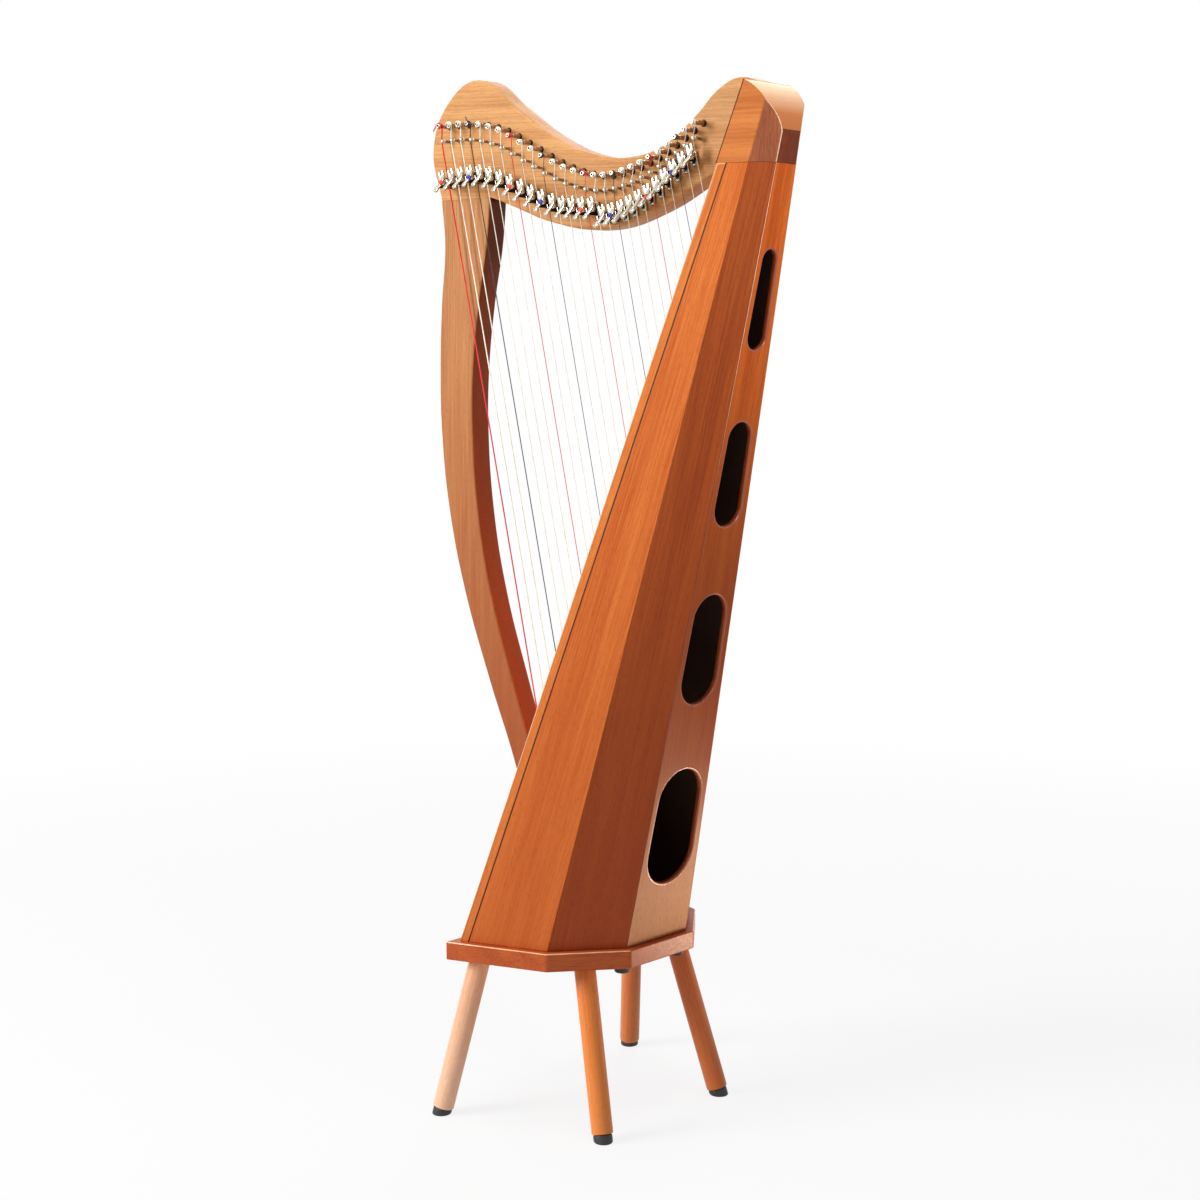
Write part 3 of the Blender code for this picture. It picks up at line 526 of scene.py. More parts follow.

# %% [markdown]
# ## The back panel and its sound holes
# The player reaches through four long holes in the back to knot the strings. Their rims are
# rounded over outside. A Boolean cut would give sharp rims, and rounding them afterwards is
# fragile on a cut face, so each rim is built as rings that step down round the curve and are
# bridged, and the flat faces are then filled between the rings and the panel's own outline.
# The panel darkens downwards as painted shade and turns pale again at its foot with painted
# light reflected from the floor. Its long eased corners carry a painted highlight, a pale line
# that fades out downwards, and the rims' paler wood is a painted highlight too.

# %% Rims of the sound holes
HOLE_MARGIN = 0.0095
HOLES = ((0.1377, 0.136), (0.3460, 0.1255), (0.5436, 0.1148), (0.7322, 0.1056))
HOLE_STEPS = 22
RIM_OUTSIDE = 0.0024
RIM_INSIDE = 0.0010
RIM_STEPS = 6
back_depth = APEX - Vector((BOX_BACK[0], 0, PLATE_TOP))
back_up = back_depth.normalized()
back_axes = Matrix((back_up.cross(BACK), back_up, BACK)).transposed().to_4x4()
back_frame = Matrix.Translation((BOX_BACK[0], 0, PLATE_TOP)) @ back_axes


def hole_ring(shape, middle, length, ease, depth):
    """One ring of a hole's rim, grown by ease and this deep under the panel's face."""
    slope = BOX_BACK[1] / back_depth.length
    corners = []
    for end in (1, -1):
        tip = middle + end * length / 2
        radius = (BOX_BACK[1] - slope * tip - HOLE_MARGIN) / (1 - end * slope)
        centre = tip - end * radius
        for step in range(HOLE_STEPS):
            angle = math.pi * step / (HOLE_STEPS - 1)
            across = end * (radius + ease) * math.cos(angle)
            height = centre + end * (radius + ease) * math.sin(angle)
            corners.append(shape.verts.new(back_frame @ Vector((across, height, -depth))))
    return [shape.edges.new(pair) for pair in zip(corners, corners[1:] + corners[:1])]


def rim_profile():
    """How far out and how deep each ring of a rim lies."""
    quarter = math.radians(90)
    for step in range(RIM_STEPS + 1):
        angle = quarter * step / RIM_STEPS
        yield RIM_OUTSIDE * (1 - math.sin(angle)), RIM_OUTSIDE * (1 - math.cos(angle))
    for step in range(RIM_STEPS // 2 + 1):
        angle = quarter * step / (RIM_STEPS // 2)
        yield RIM_INSIDE * (1 - math.cos(angle)), WALL - RIM_INSIDE * (1 - math.sin(angle))


print("rings on a rim:", len(list(rim_profile())))

# %% Back panel
# Painted shade darkens the back downwards, and painted light from the floor turns its foot pale.
BACK_SHADE_AND_FLOOR_LIGHT = (((110, 42, 16), 0.95, 0.55), ((206, 146, 104), 0.42, 0.26, 0.8))
# The eased corners carry a painted highlight, a pale line that fades out downwards.
CORNER_HIGHLIGHT_FADES = (((128, 56, 26), 1.0, 0.68, 0.92),)
CORNER_HIGHLIGHT_TONES = ((255, 222, 190), (244, 196, 156))
CORNER_HIGHLIGHT_REACH = -0.003

shape = panel(BACK, mitre(BACK, LEFT_REAR), mitre(BACK, RIGHT_REAR))
faces = sorted(shape.faces, key=lambda face: face.normal.dot(BACK))
inside_edges = list(faces[0].edges)
outside_edges = list(faces[-1].edges)
bmesh.ops.delete(shape, geom=[faces[0], faces[-1]], context="FACES_ONLY")
for middle, length in HOLES:
    rings = [hole_ring(shape, middle, length, ease, depth) for ease, depth in rim_profile()]
    for ring, following in zip(rings, rings[1:]):
        made = bmesh.ops.bridge_loops(shape, edges=ring + following)
        for face in made["faces"]:
            face.smooth = True
    outside_edges += rings[0]
    inside_edges += rings[-1]
for edges, normal in ((outside_edges, BACK), (inside_edges, -BACK)):
    bmesh.ops.triangle_fill(shape, edges=edges, use_beauty=True, normal=normal)
back_wood = wooden(
    "back mahogany", back_up, (224, 112, 44), (190, 82, 26), 0.46, 0.1, fades=BACK_SHADE_AND_FLOOR_LIGHT
)
# The rims' paler wood is a painted highlight.
rim_highlight_wood = wooden("rim mahogany painted highlight", back_up, (186, 90, 44), (156, 66, 30), 0.24, 0.5)
corner_highlight_wood = wooden("back corner painted highlight", back_up, *CORNER_HIGHLIGHT_TONES, 0.25, 0.5, fades=CORNER_HIGHLIGHT_FADES)
for wood_with_painted_light in (back_wood, rim_highlight_wood):
    shade_behind(wood_with_painted_light, BACK, WALL)
for face in shape.faces:
    off_apex = face.calc_center_median() - APEX
    on_corner = any(off_apex.dot(plane) > CORNER_HIGHLIGHT_REACH for plane in (LEFT_REAR, RIGHT_REAR))
    outward = abs(face.normal.y) > 0.15 and face.normal.dot(BACK) > 0.5
    if face.smooth:
        face.material_index = 2 if outward and on_corner else 1
finishes = [back_wood, rim_highlight_wood, corner_highlight_wood]
finished("back_panel_board", shape, finishes, ["back_panel"])

# %% [markdown]
# ## The shoulder block
# A solid block caps the sound box where the neck lands on it. It carries on all six planes of
# the box and ends in the same round crest as the neck. The crest is sawn as a fan of flats
# that touch its circle, and then every outside edge is rounded, as a spokeshave would. Each
# side of the block shows the grain differently, so each has a finish of its own: rear and back
# faces darker, partly for their grain and partly as painted shade; a pale crest that is a
# painted highlight fading downwards; pale eased corners that are a painted highlight too; and
# a dark glue line where it meets the neck.

# %% Shoulder block
FRONT_SLOPE = (APEX.x - BOX_FRONT[0]) / (APEX.z - PLATE_TOP)
NECK_ROOT = Vector((BOX_FRONT[0] + (SEAT_Z - PLATE_TOP) * FRONT_SLOPE, 0, SEAT_Z))
CREST_CENTRE = (0.0006, 0.0319)
CREST_RADIUS = 0.0586
CREST_CUTS = 30
BLOCK_ROUNDING = 0.0016
SEAM_WIDTH = 0.0011
# The crest's pale wood is a painted highlight fading downwards; the rear and back woods are
# darkened partly as painted shade.
CREST_HIGHLIGHT_FADE = ((190, 106, 50), 1.151, 1.114, 0.95)
level = Vector((BOX_SIDE[0] - BOX_FRONT[0], BOX_FRONT[1] - BOX_SIDE[1], 0))
BLOCK_WOODS = (
    ("shoulder mahogany", level, (204, 122, 58), (180, 98, 42), 0.36, 0.25, 0.2),
    ("shoulder rear grain", Z_AXIS, (176, 98, 62), (150, 78, 46), 0.40, 0.2, 0.2),
    ("shoulder back grain", Z_AXIS, (126, 58, 32), (96, 40, 20), 0.40, 0.1, 0.2),
    ("shoulder corner", Z_AXIS, *CORNER_HIGHLIGHT_TONES, 0.25, 0.5, 0.2),
    ("glue line", Z_AXIS, (106, 52, 30), (80, 38, 22), 0.60, 0.1, 0.2),
    ("crest mahogany", (0, 1, 0), (250, 222, 186), (240, 206, 166), 0.46, 0.2, 0.15, (CREST_HIGHLIGHT_FADE,)),
)


def neck_point(place, y=0.0):
    """A point given in the neck's own frame, whose zero is where the seat meets the board."""
    return Vector((NECK_ROOT.x + place[0], y, NECK_ROOT.z + place[1]))


def crest_angle(gap):
    """Where the crest's circle meets the sound board's plane, or one this far in front."""
    facing = math.atan2(FRONT.z, FRONT.x)
    reach = gap - FRONT.dot(neck_point(CREST_CENTRE) - APEX)
    return facing - math.acos(reach / CREST_RADIUS)


def block_finish(face, seam):
    """Which of the block's woods a face shows."""
    if (face.calc_center_median() - seam).dot(FRONT) > 0:
        return 4
    for plane in (LEFT_REAR, RIGHT_REAR):
        if face.smooth and face.normal.dot((plane + BACK).normalized()) > 0.96:
            return 3
    for place, plane in ((2, BACK), (1, RIGHT_REAR), (1, LEFT_REAR)):
        if face.normal.dot(plane) > 0.999:
            return place
    if abs(face.normal.y) < 0.3:
        return 2 if face.normal.x > 0.9995 else 5
    return 0


cuts = [within(face, 0) for face in (FRONT, LEFT, LEFT_REAR, BACK, RIGHT_REAR, RIGHT)]
cuts.append(above(SEAT_Z))
first = crest_angle(0)
for step in range(CREST_CUTS):
    angle = first * (1 - step / (CREST_CUTS - 1))
    away = Vector((math.cos(angle), 0, math.sin(angle)))
    cuts.append((neck_point(CREST_CENTRE) + away * CREST_RADIUS, away))
shape = sawn(cuts)
seat = Vector((0, 0, SEAT_Z))
outer = [
    edge
    for edge in sharp_edges(shape, 20)
    if not on_plane(edge, seat, Z_AXIS) and not on_plane(edge, APEX, FRONT)
]
for face in shape.faces:
    across = len(face.verts) == 4 and abs(face.normal.y) < 0.001
    face.smooth = across and face.normal.z > 0.02
rounded(shape, outer, BLOCK_ROUNDING, 4)
seam = APEX - FRONT * SEAM_WIDTH
cut(shape, seam, FRONT, clear=False)
for face in shape.faces:
    face.material_index = block_finish(face, seam)
finishes = [wooden(*wood_with_painted_light) for wood_with_painted_light in BLOCK_WOODS]
finished("shoulder_block_wood", shape, finishes, ["shoulder_block"])

# %% [markdown]
# ## Neck and pillar, cut from boards
# Both are flat boards sawn to flowing outlines and rounded along their edges. A Bezier curve
# through a few measured points draws such an outline better than any hand-made polygon, so
# the curve is made a mesh, filled, given its thickness by extruding, and its rims rounded.
# The edges where one board meets the next stay square, so the joints stay closed.

# %% Sawing a board to an outline
OUTLINE_STEPS = 10
STRAIGHT = math.radians(0.05)
UPRIGHT = Matrix.Rotation(math.radians(90), 4, "X")


def rounds(points):
    return [(x, z, "round") for x, z in points]


def outline_mesh(outline):
    """The closed curve through an outline of (x, y, kind) points, as a mesh of its edges."""
    curve = bpy.data.curves.new("outline", "CURVE")
    curve.dimensions = "2D"
    curve.fill_mode = "NONE"
    curve.resolution_u = OUTLINE_STEPS
    spline = curve.splines.new("BEZIER")
    spline.bezier_points.add(len(outline) - 1)
    spline.use_cyclic_u = True
    for point, (x, y, kind) in zip(spline.bezier_points, outline):
        point.co = (x, y, 0)
        handle = "AUTO" if kind == "round" else "VECTOR"
        point.handle_left_type = handle
        point.handle_right_type = handle
    sketch = placed("outline", curve)
    bpy.context.view_layer.update()
    graph = bpy.context.evaluated_depsgraph_get()
    mesh = bpy.data.meshes.new_from_object(sketch.evaluated_get(graph))
    bpy.data.objects.remove(sketch)
    return mesh


def square(edge, joints):
    """Whether an edge lies on the line through one of the pairs of points."""
    for start, end in joints:
        start = Vector((*start, 0))
        along = (Vector((*end, 0)) - start).normalized()
        off = [vertex.co - start for vertex in edge.verts]
        if all(Vector((o.x, o.y, 0)).cross(along).length < 0.00008 for o in off):
            return True
    return False


def bandsawn(outline, thickness, turn, rounding, joints):
    """A board. Joints are the pairs of outline points between which edges stay square."""
    mesh = outline_mesh(outline)
    shape = bmesh.new()
    shape.from_mesh(mesh)
    bpy.data.meshes.remove(mesh)
    bmesh.ops.remove_doubles(shape, verts=shape.verts, dist=0.00001)
    bmesh.ops.dissolve_limit(shape, angle_limit=STRAIGHT, verts=shape.verts, edges=shape.edges)
    made = bmesh.ops.contextual_create(shape, geom=shape.edges)
    bmesh.ops.translate(shape, vec=(0, 0, -thickness / 2), verts=shape.verts)
    grown = bmesh.ops.extrude_face_region(shape, geom=made["faces"])
    top = [item for item in grown["geom"] if isinstance(item, bmesh.types.BMVert)]
    bmesh.ops.translate(shape, vec=(0, 0, thickness), verts=top)
    bmesh.ops.recalc_face_normals(shape, faces=shape.faces)
    flat_edges = [e for e in shape.edges if abs(e.verts[0].co.z - e.verts[1].co.z) < 0.00001]
    for face in shape.faces:
        face.smooth = abs(face.normal.z) < 0.5
    rounded(shape, [edge for edge in flat_edges if not square(edge, joints)], rounding, 5)
    bmesh.ops.transform(shape, matrix=turn, verts=shape.verts)
    return shape


def held_within(shape, node_name):
    """Brings any point outside the measured node's box back to the box."""
    low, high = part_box(node_name)
    for vertex in shape.verts:
        vertex.co = [min(max(c, a), b) for c, a, b in zip(vertex.co, low, high)]


print("neck root:", [round(value, 4) for value in NECK_ROOT])

# %% [markdown]
# ## The neck
# The neck sweeps from the head above the pillar, down and up again to the crest. All the
# tuning pins, bridge pins and levers stand on its left face. Its grain lies level.

# %% Neck
NECK_THICKNESS = 0.028
NECK_HALF = NECK_THICKNESS / 2
NECK_ROUNDING = 0.0030
SEAM_OUTER = (-0.4549, -0.0115)
SEAM_INNER = (-0.3714, -0.0115)
NECK_HEEL_RISE = 0.010
NECK_TOP = (
    (-0.4688, 0.0523), (-0.4394, 0.1047), (-0.3912, 0.1242), (-0.3300, 0.0883), (-0.2683, 0.0502),
    (-0.2054, 0.0260), (-0.1536, 0.0195), (-0.1063, 0.0281), (-0.0603, 0.0555), (-0.0246, 0.0830),
)
NECK_UNDERSIDE = (
    (-0.0433, -0.0105), (-0.1151, -0.0410), (-0.1927, -0.0566), (-0.2724, -0.0451),
    (-0.3364, -0.0234),
)

outline = [(*SEAM_OUTER, "corner"), *rounds(NECK_TOP)]
for angle, kind in ((math.radians(90), "round"), (crest_angle(GAP), "corner")):
    x = CREST_CENTRE[0] + CREST_RADIUS * math.cos(angle)
    z = CREST_CENTRE[1] + CREST_RADIUS * math.sin(angle)
    outline.append((x, z, kind))
crest_end = outline[-1][:2]
heel = (NECK_HEEL_RISE * FRONT_SLOPE - GAP / -FRONT.x, NECK_HEEL_RISE)
outline += [(*heel, "corner"), *rounds(NECK_UNDERSIDE), (*SEAM_INNER, "corner")]
joints = ((SEAM_OUTER, SEAM_INNER), (crest_end, heel))
neck_turn = Matrix.Translation(NECK_ROOT) @ UPRIGHT
shape = bandsawn(outline, NECK_THICKNESS, neck_turn, NECK_ROUNDING, joints)
held_within(shape, "neck")
neck_wood = wooden("neck mahogany", (1, 0, -0.06), (208, 154, 98), (180, 121, 72), 0.42, 0.08)
finished("neck_board", shape, [neck_wood], ["neck"])

# %% [markdown]
# ## The pillar
# The pillar bows outwards from the foot of the sound box to the head of the neck and takes
# the pull of the strings. It is another bandsawn board, with upright grain. It darkens and
# reddens downwards, while its rear edge is darkened above as painted shade, where the neck
# shades it, and turns a brighter red below.

# %% Pillar
PILLAR_THICKNESS = 0.029
PILLAR_ROUNDING = 0.0028
PILLAR_EDGES = (
    (0.937, -0.0057, 0.0669), (0.856, -0.0261, 0.0388), (0.759, -0.0465, 0.0112),
    (0.673, -0.0593, -0.0049), (0.561, -0.0658, -0.0154), (0.448, -0.0593, -0.0136),
    (0.323, -0.0388, 0.0022), (0.215, -0.0167, 0.0180), (0.108, -0.0032, 0.0228),
)
PILLAR_TOE = 0.0074
PILLAR_SEAT_LENGTH = 0.0438
PILLAR_FADES = (((150, 66, 30), 1.05, 0.42, 0.8),)
# The rear edge is painted shade: dark near the neck, fading to a brighter red lower down.
PILLAR_EDGE_SHADE_FADES = (((236, 100, 46), 1.0, 0.55),)


def front_point(rise, height=0.0):
    """A point on the sound board's middle, this far up it and this high over its face."""
    foot = Vector((BOX_FRONT[0], 0, PLATE_TOP))
    return foot + (APEX - foot).normalized() * rise + FRONT * height


toe = Vector((BOX_FRONT[0], 0, PLATE_TOP))
seam = neck_point(SEAM_OUTER)
outer = []
inner = []
for share, outer_edge, inner_edge in PILLAR_EDGES:
    line = toe + (seam - toe) * share
    outer.append((line.x + outer_edge, line.z, "round"))
    inner.append((line.x + inner_edge, line.z, "round"))
seat_end = front_point(PILLAR_SEAT_LENGTH, GAP)
board_foot = front_point(0, GAP)
toe_z = PLATE_TOP + GAP
seam_z = seam.z - GAP
top_outer = (seam.x, seam_z)
top_inner = (neck_point(SEAM_INNER).x, seam_z)
toe_outer = (BOX_FRONT[0] - PILLAR_TOE, toe_z)
toe_inner = (board_foot.x + (toe_z - board_foot.z) * FRONT_SLOPE, toe_z)
seat_top = (seat_end.x, seat_end.z)
outline = [(*top_outer, "corner"), *outer, (*toe_outer, "corner"), (*toe_inner, "corner")]
outline += [(*seat_top, "corner"), *reversed(inner), (*top_inner, "corner")]
joints = ((top_outer, top_inner), (toe_outer, toe_inner), (toe_inner, seat_top))
shape = bandsawn(outline, PILLAR_THICKNESS, UPRIGHT, PILLAR_ROUNDING, joints)
held_within(shape, "pillar")
grain = (0.02, 0, 1)
finishes = [
    wooden("pillar mahogany", grain, (196, 140, 88), (168, 108, 62), fades=PILLAR_FADES),
    wooden("pillar edge painted shade", grain, (122, 58, 32), (96, 42, 22), fades=PILLAR_EDGE_SHADE_FADES),
]
for face in shape.faces:
    face.material_index = int(face.normal.x > 0.75)
finished("pillar_board", shape, finishes, ["pillar"])

# %% [markdown]
# ## The base plate
# The plate follows the sound box's foot with a lip all round. Its top edge is rounded well
# over and its corners are eased. Along its sides the top rounding takes a paler, glossier
# wood, a painted highlight that draws the pale line along its top.

# %% Base plate
PLATE_LIP = 0.009
PLATE_TOP_ROUNDING = 0.0055
PLATE_CORNER_ROUNDING = 0.0022
PLATE_FOOT_ROUNDING = 0.0015

cuts = [below(PLATE_TOP), above(STAND_HEIGHT)]
for near, far in ((BOX_FRONT, BOX_SIDE), (BOX_SIDE, BOX_BACK)):
    along = Vector((far[0] - near[0], far[1] - near[1], 0))
    away = Vector((-along.y, along.x, 0)).normalized()
    start = Vector((*near, 0)) + away * PLATE_LIP
    cuts.append((start, away))
    cuts.append((Vector((start.x, -start.y, 0)), Vector((away.x, -away.y, 0))))
cuts.append((Vector((BOX_FRONT[0] - PLATE_LIP, 0, 0)), Vector((-1, 0, 0))))
cuts.append((Vector((BOX_BACK[0] + PLATE_LIP, 0, 0)), Vector((1, 0, 0))))
shape = sawn(cuts)
upright = [e for e in sharp_edges(shape) if abs(e.verts[0].co.z - e.verts[1].co.z) > 0.01]
rounded(shape, upright, PLATE_CORNER_ROUNDING, 4)
for z, radius, segments in (
    (PLATE_TOP, PLATE_TOP_ROUNDING, 6),
    (STAND_HEIGHT, PLATE_FOOT_ROUNDING, 3),
):
    rim = [edge for edge in shape.edges if on_plane(edge, Vector((0, 0, z)), Z_AXIS)]
    rounded(shape, rim, radius, segments)
grain = (0.6, 1, 0)
finishes = [
    wooden("base mahogany", grain, (190, 92, 44), (168, 74, 32), 0.32, 0.2, 0.12),
    wooden("base edge painted highlight", grain, (252, 194, 150), (236, 170, 126), 0.24, 0.5, 0.1),
]
# The side rounding's paler wood is a painted highlight.
for face in shape.faces:
    slope = 0.35 < face.normal.z < 0.96 and abs(face.normal.y) > 0.2
    face.material_index = int(face.smooth and slope)
finished("base_plate_board", shape, finishes, ["base_plate"])

# %% [markdown]
# ## Legs, rubber tips and base feet
# Four turned legs splay outwards and stand in black rubber tips. Four more rubber feet under
# the plate carry the harp when the legs are screwed out. A leg is a cone shape laid along its
# own axis and sawn level where it meets the plate; a tip is sawn level by the floor. Each leg
# has tones of its own, lit and shaded copies of one wood as painted light, because the left
# front one looks much paler in the picture. Each also turns paler towards its foot.

# %% Legs, tips and feet
LEG_RADIUS = 0.0122
LEG_EASING = 0.0009
LEG_OVERSHOOT = 0.03
LEG_TIP_RADIUS = 0.0108
LEG_TIP_LENGTH = 0.0092
LEG_TIP_OVERSHOOT = 0.02
LEG_TIP_ROUNDING = 0.0020
LEG_ENDS = {
    "front": ((-0.0741, 0.1301), (-0.1091, 0.1623)),
    "rear": ((0.0387, 0.0774), (0.0886, 0.1010)),
}
# Each leg's tones are painted light: lit and shaded copies of one wood.
LEG_LIGHT_TONES = {
    "left_front_leg": ((242, 182, 142), (222, 156, 116), (252, 214, 182)),
    "left_rear_leg": ((236, 134, 62), (212, 108, 44), (240, 146, 70)),
    "right_front_leg": ((214, 122, 64), (190, 98, 46), (222, 128, 66)),
    "right_rear_leg": ((214, 114, 56), (190, 90, 38), (226, 124, 60)),
}
FOOT_RADIUS = 0.010
FOOT_TAPER = 0.86
FOOT_HEIGHT = 0.009
FOOT_ROUNDING = 0.0022
FOOT_PLACES = {"front": (-0.070, 0.085), "rear": (0.068, 0.0465)}

rubber_tones = ((22, 22, 23), (52, 50, 49))
rubber_cells = (0.0007, 0.0007, 3.0)
rubber = mottled("black rubber", rubber_tones, (0.42, 0.68), rubber_cells, (0.25, 0.0003), WIDE)


def rod(start, end, radius, sides=48, end_radius=None):
    """A round bar between two points."""
    shape = bmesh.new()
    bmesh.ops.create_cone(
        shape,
        cap_ends=True,
        segments=sides,
        radius1=radius,
        radius2=radius if end_radius is None else end_radius,
        depth=(end - start).length,
    )
    turn = (end - start).to_track_quat("Z", "Y").to_matrix().to_4x4()
    place = Matrix.Translation((start + end) / 2) @ turn
    bmesh.ops.transform(shape, matrix=place, verts=shape.verts)
    return shape


for end_name, (top_place, toe_place) in LEG_ENDS.items():
    for hand, turn, *_ in HANDS:
        high = Vector((top_place[0], top_place[1] * turn, STAND_HEIGHT))
        low = Vector((toe_place[0], toe_place[1] * turn, 0))
        axis = (high - low).normalized()
        leg_foot = low + axis * LEG_TIP_LENGTH
        name = f"{hand}_{end_name}_leg"
        shape = rod(leg_foot, high + axis * LEG_OVERSHOOT, LEG_RADIUS)
        cut(shape, *below(STAND_HEIGHT - GAP))
        rounded(shape, sharp_edges(shape, 30), LEG_EASING, 3)
        pale, deep, foot = LEG_LIGHT_TONES[name]
        fades = ((foot, STAND_HEIGHT, LEG_TIP_LENGTH),)
        wood_with_painted_light = wooden(f"{name} wood", axis, pale, deep, 0.34, 0.3, 0.2, fades)
        finished(f"{name}_turned", shape, [wood_with_painted_light], [name], smooth=40)
        shape = rod(low - axis * LEG_TIP_OVERSHOOT, leg_foot - axis * GAP, LEG_TIP_RADIUS)
        cut(shape, *above(0))
        rounded(shape, sharp_edges(shape, 30), LEG_TIP_ROUNDING, 4)
        finished(f"{name}_tip_cup", shape, [rubber], [f"{name}_tip"], smooth=40)
for end_name, place in FOOT_PLACES.items():
    for hand, turn, *_ in HANDS:
        high = Vector((place[0], place[1] * turn, STAND_HEIGHT - GAP))
        low = high - Z_AXIS * FOOT_HEIGHT
        shape = rod(low, high, FOOT_RADIUS * FOOT_TAPER, 40, FOOT_RADIUS)
        rounded(shape, sharp_edges(shape, 30), FOOT_ROUNDING, 4)
        name = f"{hand}_{end_name}_base_foot"
        finished(f"{name}_bumper", shape, [rubber], [name], smooth=40)

# %% [markdown]
# ## Metals
# The levers and pin tips are nickel, the pin shafts a darker steel that mirrors the wood. Both
# are metal all through, so the base colour is the colour of the reflection. A faint uneven
# roughness and bump keep the cast faces from looking like a mirror ball. A last, very dark one
# is painted shade: it stands for the deep shade in recesses and screws, and darkens the
# collars of the pins and the bracket plates.

# %% Metals
METAL_CELLS = (0.0011, 0.0011, 3.0)


def metal(name, tones, rough, bump):
    return mottled(name, tones, rough, METAL_CELLS, (bump, 0.0002), metallic=1.0)


nickel = metal("polished nickel", ((176, 168, 152), (210, 203, 188)), (0.16, 0.30), 0.18)
cast = metal("cast nickel", ((190, 182, 166), (220, 213, 199)), (0.19, 0.32), 0.2)
shaft = metal("dark pin steel", ((146, 122, 106), (184, 160, 144)), (0.24, 0.38), 0.08)
steel = metal("bolt steel", ((150, 148, 146), (182, 180, 178)), (0.25, 0.40), 0.10)
# A very dark metal that is painted shade.
painted_shade = metal("painted shade metal", ((40, 30, 26), (58, 46, 40)), (0.45, 0.60), 0.10)
print("metals:", nickel.name, cast.name, shaft.name, steel.name, painted_shade.name)

# %% [markdown]
# ## Where each string runs
# A string leaves its tuning pin at a tangent, bends round the bridge pin, passes through its
# lever's fork and ends in the sound board. Places measured for nine strings are joined by a
# smooth line, which gives the even sweep of all 27.

# %% String places
STRINGS = 27
STRING_RADIUS = 0.00034
BASS_GROWTH = 0.0005
STRING_KNOTS = (
    (1, -0.4387, 0.0566, 0.0172, 0.0013), (3, -0.4064, 0.0566, 0.0170, 0.0012),
    (5, -0.3734, 0.0520, 0.0187, 0.0008), (7, -0.3397, 0.0419, 0.0200, 0.0008),
    (9, -0.3053, 0.0251, 0.0204, 0.0010), (13, -0.2383, -0.0048, 0.0182, 0.0020),
    (17, -0.1785, -0.0151, 0.0158, 0.0030), (22, -0.1122, -0.0003, 0.0153, 0.0040),
    (27, -0.0509, 0.0311, 0.0158, 0.0042),
)
FIRST_FOOT = 0.0628
FOOT_STEP = 0.0298
FOOT_STEP_SHRINK = 0.00006
STRING_STANDOFF = 0.0108
STRING_OVER_BOARD = 0.0052
STRING_UNDER_BOARD = -0.0063
TUNING_PIN_RADIUS = 0.0024
TUNING_PIN_STANDOFF = 0.0165
BRIDGE_PIN_RADIUS = 0.0011
BRIDGE_CLEARANCE = 0.0006


def between(knots, number):
    """Reads a smooth line through knots, each of which starts with its string number."""
    last = len(knots) - 1
    index = min(sum(1 for knot in knots[1:] if knot[0] <= number), last - 1)
    before = knots[max(index - 1, 0)]
    start, end = knots[index : index + 2]
    after = knots[min(index + 2, last)]
    span = end[0] - start[0]
    t = (number - start[0]) / span
    values = []
    for column in range(1, len(start)):
        leave = (end[column] - before[column]) / (end[0] - before[0]) * span
        arrive = (after[column] - start[column]) / (after[0] - start[0]) * span
        values.append(
            start[column] * (2 * t**3 - 3 * t**2 + 1)
            + leave * (t**3 - 2 * t**2 + t)
            + end[column] * (3 * t**2 - 2 * t**3)
            + arrive * (t**3 - t**2)
        )
    return values


def string_places(number):
    """Both pins' places on the neck's face, and the string's own points."""
    x, z, pin_rise, pin_shift = between(STRING_KNOTS, number)
    share = (number - 1) / (STRINGS - 1)
    radius = STRING_RADIUS + BASS_GROWTH * (1 - share) ** 5
    face = -NECK_HALF
    pin = neck_point((x + pin_shift, z + pin_rise), face)
    beside_pin = x - BRIDGE_PIN_RADIUS - radius - BRIDGE_CLEARANCE
    at_bridge = neck_point((beside_pin, z), face - STRING_STANDOFF)
    run = at_bridge - pin
    turn = TUNING_PIN_RADIUS + radius + GAP
    angle = math.atan2(run.z, run.x) + math.acos(turn / math.hypot(run.x, run.z))
    at_pin = pin + Vector((turn * math.cos(angle), -TUNING_PIN_STANDOFF, turn * math.sin(angle)))
    count = number - 1
    rise = FIRST_FOOT + FOOT_STEP * count - FOOT_STEP_SHRINK * count * count
    feet = (front_point(rise, STRING_OVER_BOARD), front_point(rise, STRING_UNDER_BOARD))
    return {
        "bridge": neck_point((x, z), face),
        "pin": pin,
        "angle": angle,
        "turn": turn,
        "path": (at_pin, at_bridge, *feet),
        "radius": radius,
        "rise": rise,
    }


places = [string_places(number) for number in range(1, STRINGS + 1)]
lengths = [(place["path"][1] - place["path"][2]).length for place in places]
print("longest and shortest string:", round(lengths[0], 3), round(lengths[-1], 3))

# %% [markdown]
# ## Tuning pins
# Each pin goes right through the neck: the string winds on near its left tip, and a key fits
# the squared end on the right. A round part is quickest made by spinning its profile about an
# axis. One pattern is spun, and 27 copies of it are laid in place as a single piece. A bushing
# fits round each pin where it enters the wood, darkened as painted shade, and the eye at the
# pin's tip is painted shade too.

# %% Turning a part and laying copies of it
FACING_OUT = Matrix.Rotation(math.radians(90), 4, "X")


